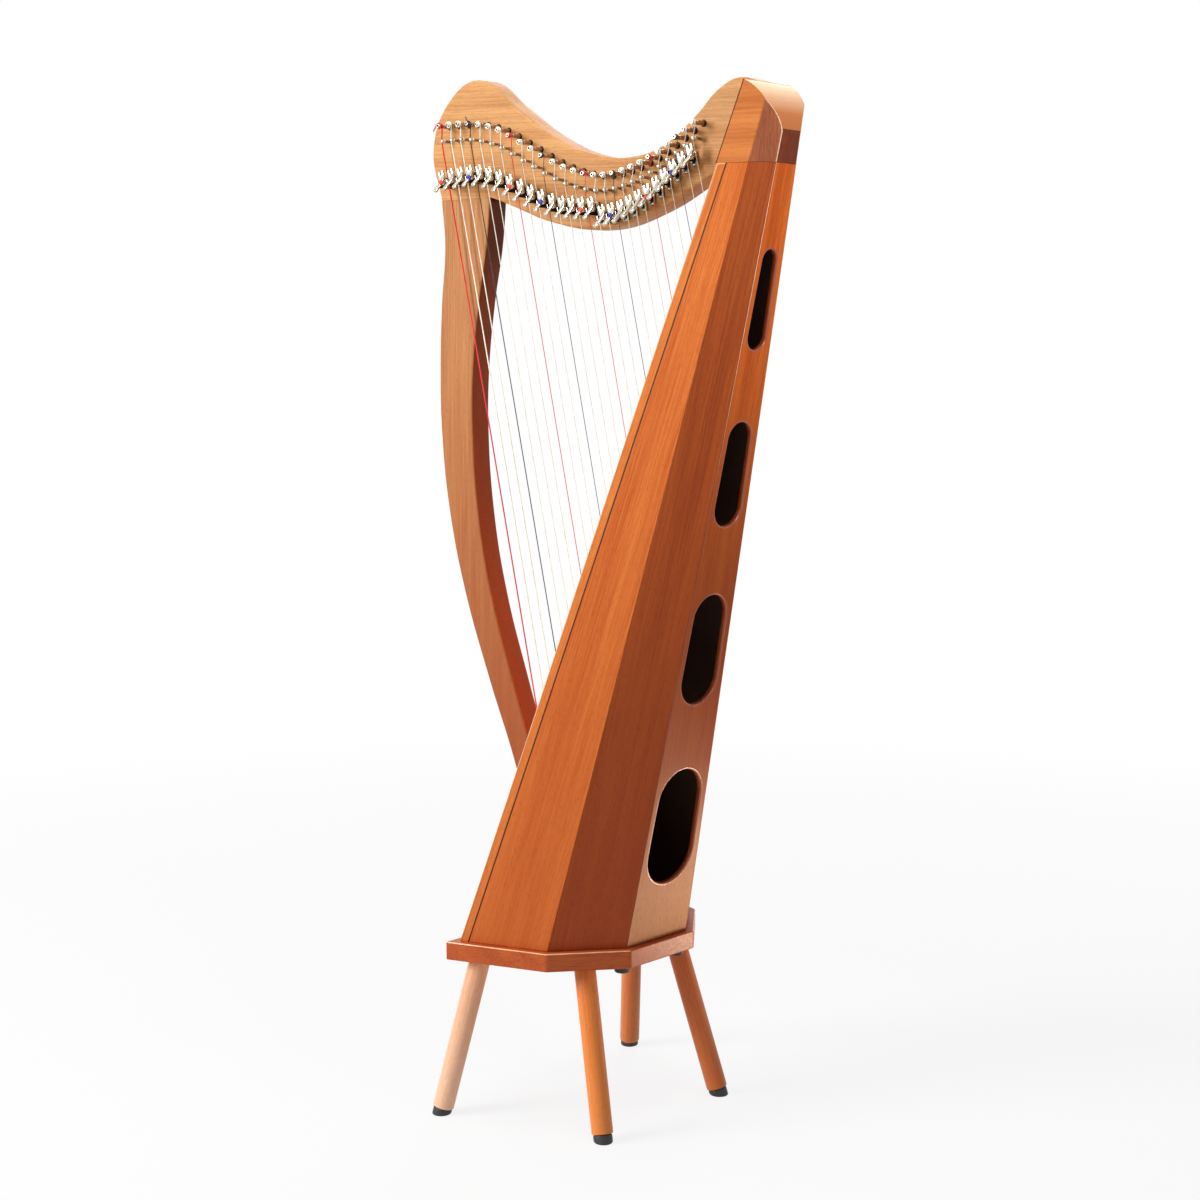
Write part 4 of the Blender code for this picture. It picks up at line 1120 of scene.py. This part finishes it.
def turned(profile, steps):
    """Spins a profile of (radius, height) points about z. Its ends lie on the axis."""
    shape = bmesh.new()
    corners = [shape.verts.new((radius, 0, height)) for radius, height in profile]
    for pair in zip(corners, corners[1:]):
        shape.edges.new(pair)
    bmesh.ops.spin(
        shape,
        geom=shape.verts[:] + shape.edges[:],
        cent=(0, 0, 0),
        axis=(0, 0, 1),
        angle=math.radians(360),
        steps=steps,
        use_merge=True,
    )
    bmesh.ops.remove_doubles(shape, verts=shape.verts, dist=0.000001)
    bmesh.ops.recalc_face_normals(shape, faces=shape.faces)
    return shape


def stamp(target, pattern, place):
    """Adds a copy of a pattern to a shape, put in place by a matrix."""
    mesh = bpy.data.meshes.new("copy")
    pattern.to_mesh(mesh)
    mesh.transform(place)
    target.from_mesh(mesh)
    bpy.data.meshes.remove(mesh)


def add(target, shape, place=Matrix.Identity(4), finish=None):
    """Makes a shape part of another one, with one of its finishes all over if named."""
    if finish is not None:
        for face in shape.faces:
            face.material_index = finish
    stamp(target, shape, place)
    shape.free()


def painted(shape, number, chosen):
    """Gives the faces that pass a test another of the piece's finishes."""
    for face in shape.faces:
        if chosen(face.calc_center_median()):
            face.material_index = number


def scattered(name, pattern, spots, finishes, smooth=35):
    """A piece made of a copy of a pattern in each of some places."""
    shape = bmesh.new()
    for spot in spots:
        stamp(shape, pattern, spot)
    pattern.free()
    finished(name, shape, finishes, smooth=smooth)


pin_spots = [Matrix.Translation(place["pin"]) @ FACING_OUT for place in places]
bridge_spots = [Matrix.Translation(place["bridge"]) @ FACING_OUT for place in places]
print("places for pins:", len(pin_spots), "and", len(bridge_spots))

# %% Tuning pins
TUNING_PROFILE = (
    (0.0000, 0.0200), (0.0009, 0.0201), (0.0014, 0.0206), (0.0020, 0.0206), (0.0024, 0.0201),
    (0.0025, 0.0194), (0.0025, 0.0184), (0.0022, 0.0180), (0.0022, 0.0120), (0.0025, 0.0116),
    (0.0025, 0.0000), (0.0025, -0.0330), (0.0000, -0.0330),
)
PIN_STEPS = 20
TUNING_TIP = 0.0179
TUNING_EYE = (0.0190, 0.0015)
KEY_END = (0.0400, 0.0325, 0.0022, 0.0027)
BUSHING = ((0.0025, 0.0007), (0.0036, 0.0007), (0.0040, 0.0003), (0.0040, -0.0002))

pin = turned(TUNING_PROFILE, PIN_STEPS)
eye_height, eye_radius = TUNING_EYE
painted(pin, 1, lambda middle: middle.z < TUNING_TIP)
# The eye at the pin's tip is painted shade.
painted(pin, 2, lambda middle: middle.z > eye_height and middle.xy.length < eye_radius)
far, near, far_radius, near_radius = KEY_END
key_end = rod(Vector((0, 0, -far)), Vector((0, 0, -near)), far_radius, 4, near_radius)
rounded(key_end, sharp_edges(key_end, 60), 0.0003, 2)
add(pin, key_end)
scattered("tuning_pins", pin, pin_spots, [nickel, shaft, painted_shade])
# The bushings are painted shade.
scattered("pin_bushings", turned(BUSHING, PIN_STEPS), pin_spots, [painted_shade])

# %% [markdown]
# ## Bridge pins
# A bridge pin is a small turned post with a round head, a groove that the string lies in and
# a collar behind the groove. It is spun from its profile in the same way.

# %% Bridge pins
BRIDGE_PROFILE = (
    (0.0000, 0.0140), (0.0013, 0.0138), (0.0023, 0.0131), (0.0025, 0.0124), (0.0021, 0.0118),
    (0.0011, 0.0115), (0.0011, 0.0103), (0.0019, 0.0098), (0.0023, 0.0092), (0.0023, 0.0078),
    (0.0018, 0.0072), (0.0017, 0.0068), (0.0017, 0.0008), (0.0022, 0.0006), (0.0022, 0.0000),
    (0.0000, -0.0005),
)
BRIDGE_COLLAR = 0.0070

post = turned(BRIDGE_PROFILE, 16)
painted(post, 1, lambda middle: middle.z < BRIDGE_COLLAR)
scattered("bridge_pins", post, bridge_spots, [nickel, shaft])

# %% [markdown]
# ## Lever places
# Each sharping lever turns on an axle that crosses its string just below the bridge pin.
# Turned up, its fork grips the string and raises it by a semitone. The places come from the
# same measured line as the model's joints, so each visual lever rides exactly on its body.

# %% Lever places
LEVER_KNOTS = (
    (1, 0.0488), (3, 0.0466), (5, 0.0415), (7, 0.0395), (9, 0.0354), (10, 0.0346), (13, 0.0280),
    (14, 0.0245), (16, 0.0212), (17, 0.0303), (19, 0.0299), (22, 0.0262), (25, 0.0212),
    (27, 0.0200),
)
AXLE_REACH = 0.0095


def axle_drop(number):
    """How far below its bridge pin a lever's axle lies, read between the knots."""
    for start, end in zip(LEVER_KNOTS, LEVER_KNOTS[1:]):
        if number <= end[0]:
            share = (number - start[0]) / (end[0] - start[0])
            return start[1] + (end[1] - start[1]) * share


def lever_frame(number):
    """A lever's axle: its place, x along the axle and z up the string."""
    path = places[number - 1]["path"]
    run = path[2] - path[1]
    on_string = path[1] + run * (axle_drop(number) / -run.z)
    lean = math.atan2(run.x, -run.z)
    centre = Vector((on_string.x, on_string.y - AXLE_REACH, on_string.z))
    return Matrix.Translation(centre) @ Matrix.Rotation(-lean, 4, "Y")


joint = frame["joints"][0]
print("first axle here:", [round(v, 4) for v in lever_frame(1).translation])
print("first joint there:", joint["name"], joint.get("anchor", joint.get("pos")))

# %% [markdown]
# ## One lever
# A lever is a small casting: a barrel on the axle, a fork with a narrow slot between two blunt
# prongs, and a handle that runs on from the right prong and curves down and outwards to a
# thick round end. The barrel is spun, the fork is an outline that is extruded and bevelled,
# and the handle is a ring carried along a path. Levers of the C and F strings wear a red or
# blue sleeve, as their strings do.

# %% A ring carried along a path
def swept(points, radii, sides):
    """A ring carried along a path, one extruded step at a time, with both ends closed."""
    shape = bmesh.new()
    points = [Vector(point) for point in points]
    last = len(points) - 1
    heading = (points[1] - points[0]).normalized()
    turn = heading.to_track_quat("Z", "Y")
    place = Matrix.LocRotScale(points[0], turn, (radii[0],) * 3)
    bmesh.ops.create_circle(shape, cap_ends=True, segments=sides, radius=1, matrix=place)
    ring = shape.edges[:]
    for index in range(1, last + 1):
        ahead = (points[min(index + 1, last)] - points[index - 1]).normalized()
        turn = heading.rotation_difference(ahead) @ turn
        heading = ahead
        following = Matrix.LocRotScale(points[index], turn, (radii[index],) * 3)
        grown = bmesh.ops.extrude_edge_only(shape, edges=ring)["geom"]
        fresh = {item for item in grown if isinstance(item, bmesh.types.BMVert)}
        step = following @ place.inverted()
        bmesh.ops.transform(shape, matrix=step, verts=list(fresh))
        edges = [item for item in grown if isinstance(item, bmesh.types.BMEdge)]
        ring = [edge for edge in edges if set(edge.verts) <= fresh]
        place = following
    bmesh.ops.contextual_create(shape, geom=ring)
    bmesh.ops.recalc_face_normals(shape, faces=shape.faces)
    return shape


print("paths can be swept")

# %% Lever pattern
FORK_THICKNESS = 0.0030
FORK_EASING = 0.0009
FORK_LEAN = 0.0010
FORK_REACH = 0.013
BARREL = (
    (0.0013, -0.0032), (0.0023, -0.0032), (0.0028, -0.0027), (0.0028, 0.0027), (0.0023, 0.0032),
    (0.0013, 0.0032), (0.0013, -0.0032),
)
PRONG_TIPS = ((0.0030, 0.0122), (-0.0027, 0.0112))
PRONG_RADIUS = 0.0018
PRONG_STEPS = 6
SLOT_HALF = 0.0010
SLOT_ROOT = 0.0094
SLOT_STEPS = 8
FORK_RIGHT = ((0.0032, -0.0018), (0.0041, 0.0016), (0.0048, 0.0054), (0.0050, 0.0096))
FORK_LEFT = ((-0.0047, 0.0088), (-0.0046, 0.0050), (-0.0038, 0.0014), (-0.0026, -0.0018))
HANDLE_PATH = (
    (0.0038, -0.0006, 0.0084), (0.0036, -0.0012, 0.0058), (0.0028, -0.0024, 0.0022),
    (0.0013, -0.0046, -0.0016), (-0.0006, -0.0070, -0.0048), (-0.0016, -0.0093, -0.0074),
    (-0.0024, -0.0112, -0.0095), (-0.0028, -0.0122, -0.0107), (-0.0030, -0.0126, -0.0112),
)
HANDLE_RADII = (0.0010, 0.0016, 0.0020, 0.0021, 0.0022, 0.0024, 0.0026, 0.0020, 0.0008)
SLEEVE_PATH = ((0.0020, -0.0030, 0.0012), (0.0010, -0.0046, -0.0016), (0.0001, -0.0059, -0.0033))
SLEEVE_RADII = (0.0025, 0.0025, 0.0024)


def half_circle(centre, radius, sweep, steps):
    """Points from the right of a centre to its left, over it or, for a negative sweep, under."""
    for step in range(steps + 1):
        angle = math.radians(sweep) * step / steps
        yield centre[0] + radius * math.cos(angle), centre[1] + radius * math.sin(angle)


def fork_outline():
    """Up the right side, over its prong, round the slot's root, over the left prong, down."""
    right, left = (half_circle(tip, PRONG_RADIUS, 180, PRONG_STEPS) for tip in PRONG_TIPS)
    slot = half_circle((0, SLOT_ROOT), SLOT_HALF, -180, SLOT_STEPS)
    return [*FORK_RIGHT, *right, *slot, *left, *FORK_LEFT]


pattern = bmesh.new()
corners = [pattern.verts.new((x, -FORK_THICKNESS / 2, z)) for x, z in fork_outline()]
face = pattern.faces.new(corners)
grown = bmesh.ops.extrude_face_region(pattern, geom=[face])
moved = [item for item in grown["geom"] if isinstance(item, bmesh.types.BMVert)]
bmesh.ops.translate(pattern, vec=(0, FORK_THICKNESS, 0), verts=moved)
bmesh.ops.recalc_face_normals(pattern, faces=pattern.faces)
rounded(pattern, sharp_edges(pattern, 60), FORK_EASING, 3)
for vertex in pattern.verts:
    vertex.co.y -= FORK_LEAN * (max(vertex.co.z, 0) / FORK_REACH) ** 2
add(pattern, turned(BARREL, 20), Matrix.Rotation(math.radians(90), 4, "Y"))
add(pattern, swept(HANDLE_PATH, HANDLE_RADII, 12))
sleeve = swept(SLEEVE_PATH, SLEEVE_RADII, 14)
rounded(sleeve, sharp_edges(sleeve, 60), 0.0003, 2)
painted(sleeve, 1, lambda middle: True)
print("lever pattern:", len(pattern.faces), "faces")

# %% [markdown]
# ## String and sleeve colours
# Harp strings are coloured so that the player can find a note: every C is red, every F is
# black or dark blue, the rest are left the cream of the nylon. The finish is smooth plastic
# with a faint uneven tone. Lever sleeves repeat the colours, red for C and blue for F.

# %% Levers and their colours
NYLON_CELLS = (0.002, 0.02, 2.0)
NYLON_DENTS = (0.05, 0.0001)


def plastic(name, low, high, roughness):
    rough = (roughness - 0.06, roughness + 0.06)
    return mottled(name, (low, high), rough, NYLON_CELLS, NYLON_DENTS)


NYLON = {
    "red": plastic("red nylon", (206, 14, 28), (228, 24, 38), 0.32),
    "dark": plastic("dark nylon", (22, 22, 26), (40, 40, 46), 0.32),
    "cream": plastic("cream nylon", (240, 234, 212), (250, 247, 234), 0.30),
}
SLEEVES = {
    "red": plastic("red sleeve", (206, 62, 44), (224, 84, 62), 0.45),
    "dark": plastic("blue sleeve", (34, 38, 134), (52, 56, 160), 0.45),
}


def string_colour(number):
    return {1: "red", 4: "dark"}.get(number % 7, "cream")


for number in range(1, STRINGS + 1):
    colour = string_colour(number)
    shape = bmesh.new()
    stamp(shape, pattern, lever_frame(number))
    finishes = [cast]
    if colour in SLEEVES:
        stamp(shape, sleeve, lever_frame(number))
        finishes.append(SLEEVES[colour])
    name = f"lever_{number:02d}"
    finished(f"{name}_casting", shape, finishes, [name], name, 40)
pattern.free()
sleeve.free()

# %% [markdown]
# ## Lever brackets
# A bracket holds each lever's axle off the neck: a sunken plate with raised rims, a slotted
# screw in a countersink, a cheek that stands out to the axle, and the axle itself. The plate,
# the screw and the cheek's inner side are painted shade. The first 18 sit a little higher, and
# their rims are darkened as painted shade between the levers. The blocks are cubes stretched
# between two corners and eased, because stamped metal has no knife edges.

# %% Lever brackets
BRACKET_WIDTH = 0.0085
BRACKET_HEIGHT = 0.0145
BRACKET_THICKNESS = 0.0030
BRACKET_SINK = 0.0010
BRACKET_DROP = -0.0006
BRACKET_RISE = 0.0030
BRACKETS_HIDDEN = 18
BRACKET_LIP = 0.0055
BRACKET_SHIFT = 0.0006
BRACKET_RIM = 0.0014
CHEEK_X = (-0.0068, -0.0058)
CHEEK_Y = -0.0024
CHEEK_TOP = 0.0031
CHEEK_FEET = (-0.0052, -0.0031)
SEAT_RISE = 0.0040
SEAT_RADIUS = 0.0027
SEAT_PROUD = Vector((0, -0.0003, 0))
SEAT_SUNK = Vector((0, 0.0004, 0))
SCREW = ((0.0, 0.0011), (0.0010, 0.0010), (0.0017, 0.0006), (0.0020, 0.0), (0.0, -0.0002))
SCREW_SLOT = ((-0.0019, -0.00025, 0.0006), (0.0019, 0.00025, 0.0012))
SCREW_TURN = 0.6
AXLE_ENDS = (Vector((-0.0072, 0, 0)), Vector((0.0038, 0, 0)))
AXLE_RADIUS = 0.0010


def eased_block(low, high, radius, segments=2):
    low = Vector(low)
    high = Vector(high)
    shape = bmesh.new()
    bmesh.ops.create_cube(shape, size=1)
    size = Matrix.Diagonal((*(high - low), 1))
    middle = Matrix.Translation((low + high) / 2)
    bmesh.ops.transform(shape, matrix=middle @ size, verts=shape.verts)
    rounded(shape, shape.edges[:], radius, segments)
    return shape


def add_screw(target, place, middle, number, rim):
    """A countersunk ring, a screw in it, and the screw's slot, turned by its number."""
    ring = rod(middle + SEAT_SUNK, middle + SEAT_PROUD, SEAT_RADIUS, 20)
    rounded(ring, sharp_edges(ring, 60), 0.0002, 2)
    add(target, ring, place, rim)
    screw_place = place @ Matrix.Translation(middle + SEAT_PROUD) @ FACING_OUT
    add(target, turned(SCREW, 16), screw_place, 1)
    slot_turn = Matrix.Rotation(SCREW_TURN * number, 4, "Z")
    add(target, eased_block(*SCREW_SLOT, 0.0001, 1), screw_place @ slot_turn, 1)


brackets = bmesh.new()
for number in range(1, STRINGS + 1):
    place = lever_frame(number)
    seen = number > BRACKETS_HIDDEN
    # The first 18 take the darker steel on their rims: painted shade.
    rim = 0 if seen else 2
    wall = -NECK_HALF - place.translation.y
    drop = BRACKET_DROP if seen else -BRACKET_RISE
    left_x = CHEEK_X[0] - BRACKET_LIP + (BRACKET_SHIFT if seen else 0)
    right_x = left_x + BRACKET_WIDTH
    low_z = -BRACKET_HEIGHT / 2 - drop
    high_z = BRACKET_HEIGHT / 2 - drop
    top_y = wall - BRACKET_THICKNESS
    base_y = top_y + BRACKET_SINK
    base = eased_block((left_x, base_y, low_z), (right_x, wall, high_z), 0.0006)
    # The sunken plate, the screw and the cheek's inner side take the painted shade.
    add(brackets, base, place, 1)
    for x in (left_x, right_x - BRACKET_RIM):
        lip = eased_block((x, top_y, low_z), (x + BRACKET_RIM, wall, high_z), 0.0005)
        add(brackets, lip, place, rim)
    for z in (low_z, high_z - BRACKET_RIM):
        lip = eased_block((left_x, top_y, z), (right_x, wall, z + BRACKET_RIM), 0.0005)
        add(brackets, lip, place, rim)
    middle = Vector(((left_x + right_x) / 2, base_y, low_z + SEAT_RISE))
    add_screw(brackets, place, middle, number, rim)
    foot = CHEEK_FEET[seen]
    cheek = eased_block((CHEEK_X[0], CHEEK_Y, foot), (CHEEK_X[1], wall, CHEEK_TOP), 0.0004)
    for face in cheek.faces:
        face.material_index = int(face.normal.x > 0.5)
    add(brackets, cheek, place)
    axle = rod(*AXLE_ENDS, AXLE_RADIUS, 16)
    rounded(axle, sharp_edges(axle, 60), 0.0003, 2)
    add(brackets, axle, place)
finished("lever_brackets", brackets, [cast, painted_shade, shaft], smooth=40)

# %% [markdown]
# ## Strings
# A string is a round tube along its path. At the tuning pin it winds on for a few turns
# towards the tip and ends in the pin, and a few strings show a cut tail there. The strings of
# one colour make one piece. At the sound board each passes through a small eyelet.

# %% Strings
STRING_SIDES = 8
WIND_STEPS = 14
WIND_WIDTH = 0.0026
WIND_PITCH = 2.15
WIND_BITE = 0.0002
TAILS = {
    1: (-0.0052, -0.0020, -0.0085),
    4: (-0.0012, -0.0030, 0.0098),
    8: (0.0062, -0.0008, -0.0012),
    11: (-0.0030, -0.0020, -0.0062),
}
TAIL_KINK = Vector((0.0002, 0, 0))


def string_path(number):
    """All points of a string: its tail or end in the pin, its turns, and its run."""
    place = places[number - 1]
    pitch = WIND_PITCH * place["radius"]
    pin = place["pin"]
    winding = []
    for step in range(int(WIND_WIDTH / pitch * WIND_STEPS), 0, -1):
        angle = place["angle"] + math.radians(360) * step / WIND_STEPS
        reach = TUNING_PIN_STANDOFF + pitch * step / WIND_STEPS
        across = Vector((math.cos(angle), 0, math.sin(angle))) * (place["turn"] - WIND_BITE)
        winding.append(pin + across - Vector((0, reach, 0)))
    start = winding[0]
    if number in TAILS:
        tail = Vector(TAILS[number])
        leading = [start + tail, start + tail * 0.66 + TAIL_KINK, start + tail * 0.3]
    else:
        axis_point = Vector((pin.x, start.y, pin.z))
        leading = [axis_point, (axis_point + start) / 2]
    return [*leading, *winding, *place["path"]]


ropes = {colour: bmesh.new() for colour in NYLON}
for number in range(1, STRINGS + 1):
    path = string_path(number)
    radii = [places[number - 1]["radius"]] * len(path)
    add(ropes[string_colour(number)], swept(path, radii, STRING_SIDES))
for colour, stands_for in (("red", []), ("dark", []), ("cream", ["string_set"])):
    name = f"{colour}_strings"
    finished(name, ropes[colour], [NYLON[colour]], stands_for, smooth=60)

# %% [markdown]
# ## String ribs and eyelets
# Two ribs of hard wood run up the middle of the soundboard, one outside and one inside, and
# the strings go through both. Eyelets keep the strings from cutting into the outer rib.

# %% Ribs and eyelets
STRING_RIB_THICKNESS = 0.003
BOARD = 0.003
ANCHOR_RIB_THICKNESS = 0.006
ANCHOR_RIB_HALF_WIDTH = 0.009
ANCHOR_RIB_START = 0.056
ANCHOR_RIB_END = 0.895
EYELET = (
    (0.0010, -0.0002), (0.0010, 0.0008), (0.0016, 0.0010), (0.0023, 0.0006), (0.0024, -0.0002),
)
board_up = (APEX - front_point(0)).normalized()
rib_wood = wooden("rib hardwood", board_up, (150, 76, 42), (112, 52, 28))

shape = sawn(
    (
        within(FRONT, BOARD + GAP),
        without(FRONT, BOARD + GAP + ANCHOR_RIB_THICKNESS),
        (Vector((0, ANCHOR_RIB_HALF_WIDTH, 0)), Vector((0, 1, 0))),
        (Vector((0, -ANCHOR_RIB_HALF_WIDTH, 0)), Vector((0, -1, 0))),
        (front_point(ANCHOR_RIB_START), -board_up),
        (front_point(ANCHOR_RIB_END), board_up),
    )
)
rounded(shape, sharp_edges(shape), 0.0006, 2)
finished("anchor_rib", shape, [rib_wood])
out_turn = FRONT.to_track_quat("Z", "Y").to_matrix().to_4x4()
outer_rib = STRING_RIB_THICKNESS + GAP
holes = [Matrix.Translation(front_point(p["rise"], outer_rib)) @ out_turn for p in places]
scattered("string_eyelets", turned(EYELET, 16), holes, [nickel], 40)

# %% [markdown]
# ## The measured pieces that stay
# The soundboard, the outer rib, the braces and the fasteners already have their true shape,
# so they only get their finishes. The soundboard is spruce, pale with fine straight grain.

# %% Finishes for the measured pieces
spruce = wooden("soundboard spruce", board_up, (222, 172, 112), (196, 138, 82), pores=0.25)
shade_behind(spruce, FRONT, BOARD)
# The braces and pillar block inside the box are darkened as painted shade.
shaded_inner_wood = wooden("inside wood in painted shade", (0, 1, 0), (62, 42, 32), (44, 30, 23), 0.55)
dowel_wood = wooden("dowel wood", (0, 0, 1), (208, 168, 118), (178, 134, 86), 0.55)
MEASURED = {
    "soundboard": spruce,
    "outer_string_rib": rib_wood,
    "lower_brace": shaded_inner_wood,
    "middle_brace": shaded_inner_wood,
    "upper_brace": shaded_inner_wood,
    "pillar_block": shaded_inner_wood,
    "pillar_bolt": steel,
    "pillar_dowel": dowel_wood,
    "shoulder_dowel": dowel_wood,
}
for name, finish in MEASURED.items():
    mesh = frame["nodes"][name].data
    mesh.materials.clear()
    mesh.materials.append(finish)
print("finishes given to", len(MEASURED), "measured pieces")

# %% [markdown]
# ## Floor, world and lamps
# The harp stands on a plain white floor. The camera, mirrors and glass see a white world, but
# a dimmer one lights the harp, so that shape shows. The floor adds its own white for the
# camera and keeps the shadow. There are five lamps. The main one is large and soft on the
# left, which leaves the rear panel in shade. One behind draws the rims, one overhead fills,
# a spot high on the right lights the crest and the top of the back, and a small warm spot
# near the floor lights the foot of the back.

# %% Floor
FLOOR_HALF = 14
FLOOR_GREY = (0.82, 0.82, 0.82, 1)
FLOOR_FADE = (0.7, 2.4, 0.84, 1.0)


def seen_directly(tree):
    """One for camera, mirror and glass rays, and nought for the rest."""
    rays = node(tree, "LightPath").outputs
    total = rays["Is Camera Ray"]
    for name in ("Is Glossy Ray", "Is Transmission Ray"):
        total = maths(tree, "ADD", total, rays[name], use_clamp=True)
    return total


def blended(tree, share, first, last, output):
    """Ends a tree in a blend of two shaders."""
    inputs = {0: share, 1: first.outputs[0], 2: last.outputs[0]}
    node(tree, output, {"Surface": node(tree, "MixShader", inputs).outputs[0]})


floor = bmesh.new()
bmesh.ops.create_grid(floor, x_segments=2, y_segments=2, size=FLOOR_HALF)
floor_mesh = bpy.data.meshes.new("floor")
floor.to_mesh(floor_mesh)
floor.free()
placed("floor", floor_mesh)
floor_finish = bpy.data.materials.new("white floor")
floor_finish.use_nodes = True
tree = floor_finish.node_tree
tree.nodes.clear()
matt = node(tree, "BsdfDiffuse", {"Color": FLOOR_GREY})
glow = node(tree, "Emission", {"Strength": 1.0})
far = node(tree, "VectorMath", {0: here(tree)}, operation="LENGTH").outputs["Value"]
fade = rescaled(tree, far, *FLOOR_FADE)
blended(tree, maths(tree, "MULTIPLY", seen_directly(tree), fade), matt, glow, "OutputMaterial")
floor_mesh.materials.append(floor_finish)
print("floor is", 2 * FLOOR_HALF, "m wide")

# %% World
WORLD_LIGHT = 0.2
WHITE = (1, 1, 1, 1)

world = bpy.data.worlds.new("white studio")
bpy.context.scene.world = world
world.use_nodes = True
tree = world.node_tree
tree.nodes.clear()
dim = node(tree, "Background", {"Strength": WORLD_LIGHT, "Color": WHITE})
white = node(tree, "Background", {"Strength": 1.0, "Color": WHITE})
blended(tree, seen_directly(tree), dim, white, "OutputWorld")
bpy.context.scene.view_settings.view_transform = "Standard"
print("the world lights the harp at", WORLD_LIGHT)

# %% Lamps
LAMPS = (
    ("left softbox", "AREA", (-1.5, -2.7, 1.75), (0.0, -0.05, 0.65), 1.5, 108),
    ("rim lamp", "AREA", (-1.0, 1.8, 2.5), (0.2, 0.0, 1.18), 1.2, 12),
    ("overhead lamp", "AREA", (0.3, -0.1, 2.9), (0.15, 0.0, 1.0), 0.9, 25),
    ("right spot", "SPOT", (2.3, -0.4, 1.55), (0.27, 0.0, 1.08), 0.25, 125),
    ("low spot", "SPOT", (0.36, 0.42, 0.08), (0.09, 0.0, 0.33), 0.08, 8),
)
SPOT_ANGLES = {"right spot": 30, "low spot": 52}
LAMP_COLOURS = {"low spot": (1.0, 0.84, 0.64)}

for name, kind, place, aim, size, power in LAMPS:
    lamp_data = bpy.data.lights.new(name, kind)
    if kind == "AREA":
        lamp_data.shape = "DISK"
        lamp_data.size = size
    else:
        lamp_data.shadow_soft_size = size
        lamp_data.spot_size = math.radians(SPOT_ANGLES[name])
        lamp_data.spot_blend = 1.0
    lamp_data.color = LAMP_COLOURS.get(name, WHITE[:3])
    lamp_data.energy = power
    lamp = placed(name, lamp_data)
    lamp.visible_camera = False
    turn = (Vector(aim) - Vector(place)).to_track_quat("-Z", "Y")
    lamp.matrix_world = Matrix.LocRotScale(Vector(place), turn, None)
print("lamps:", [lamp[0] for lamp in LAMPS])
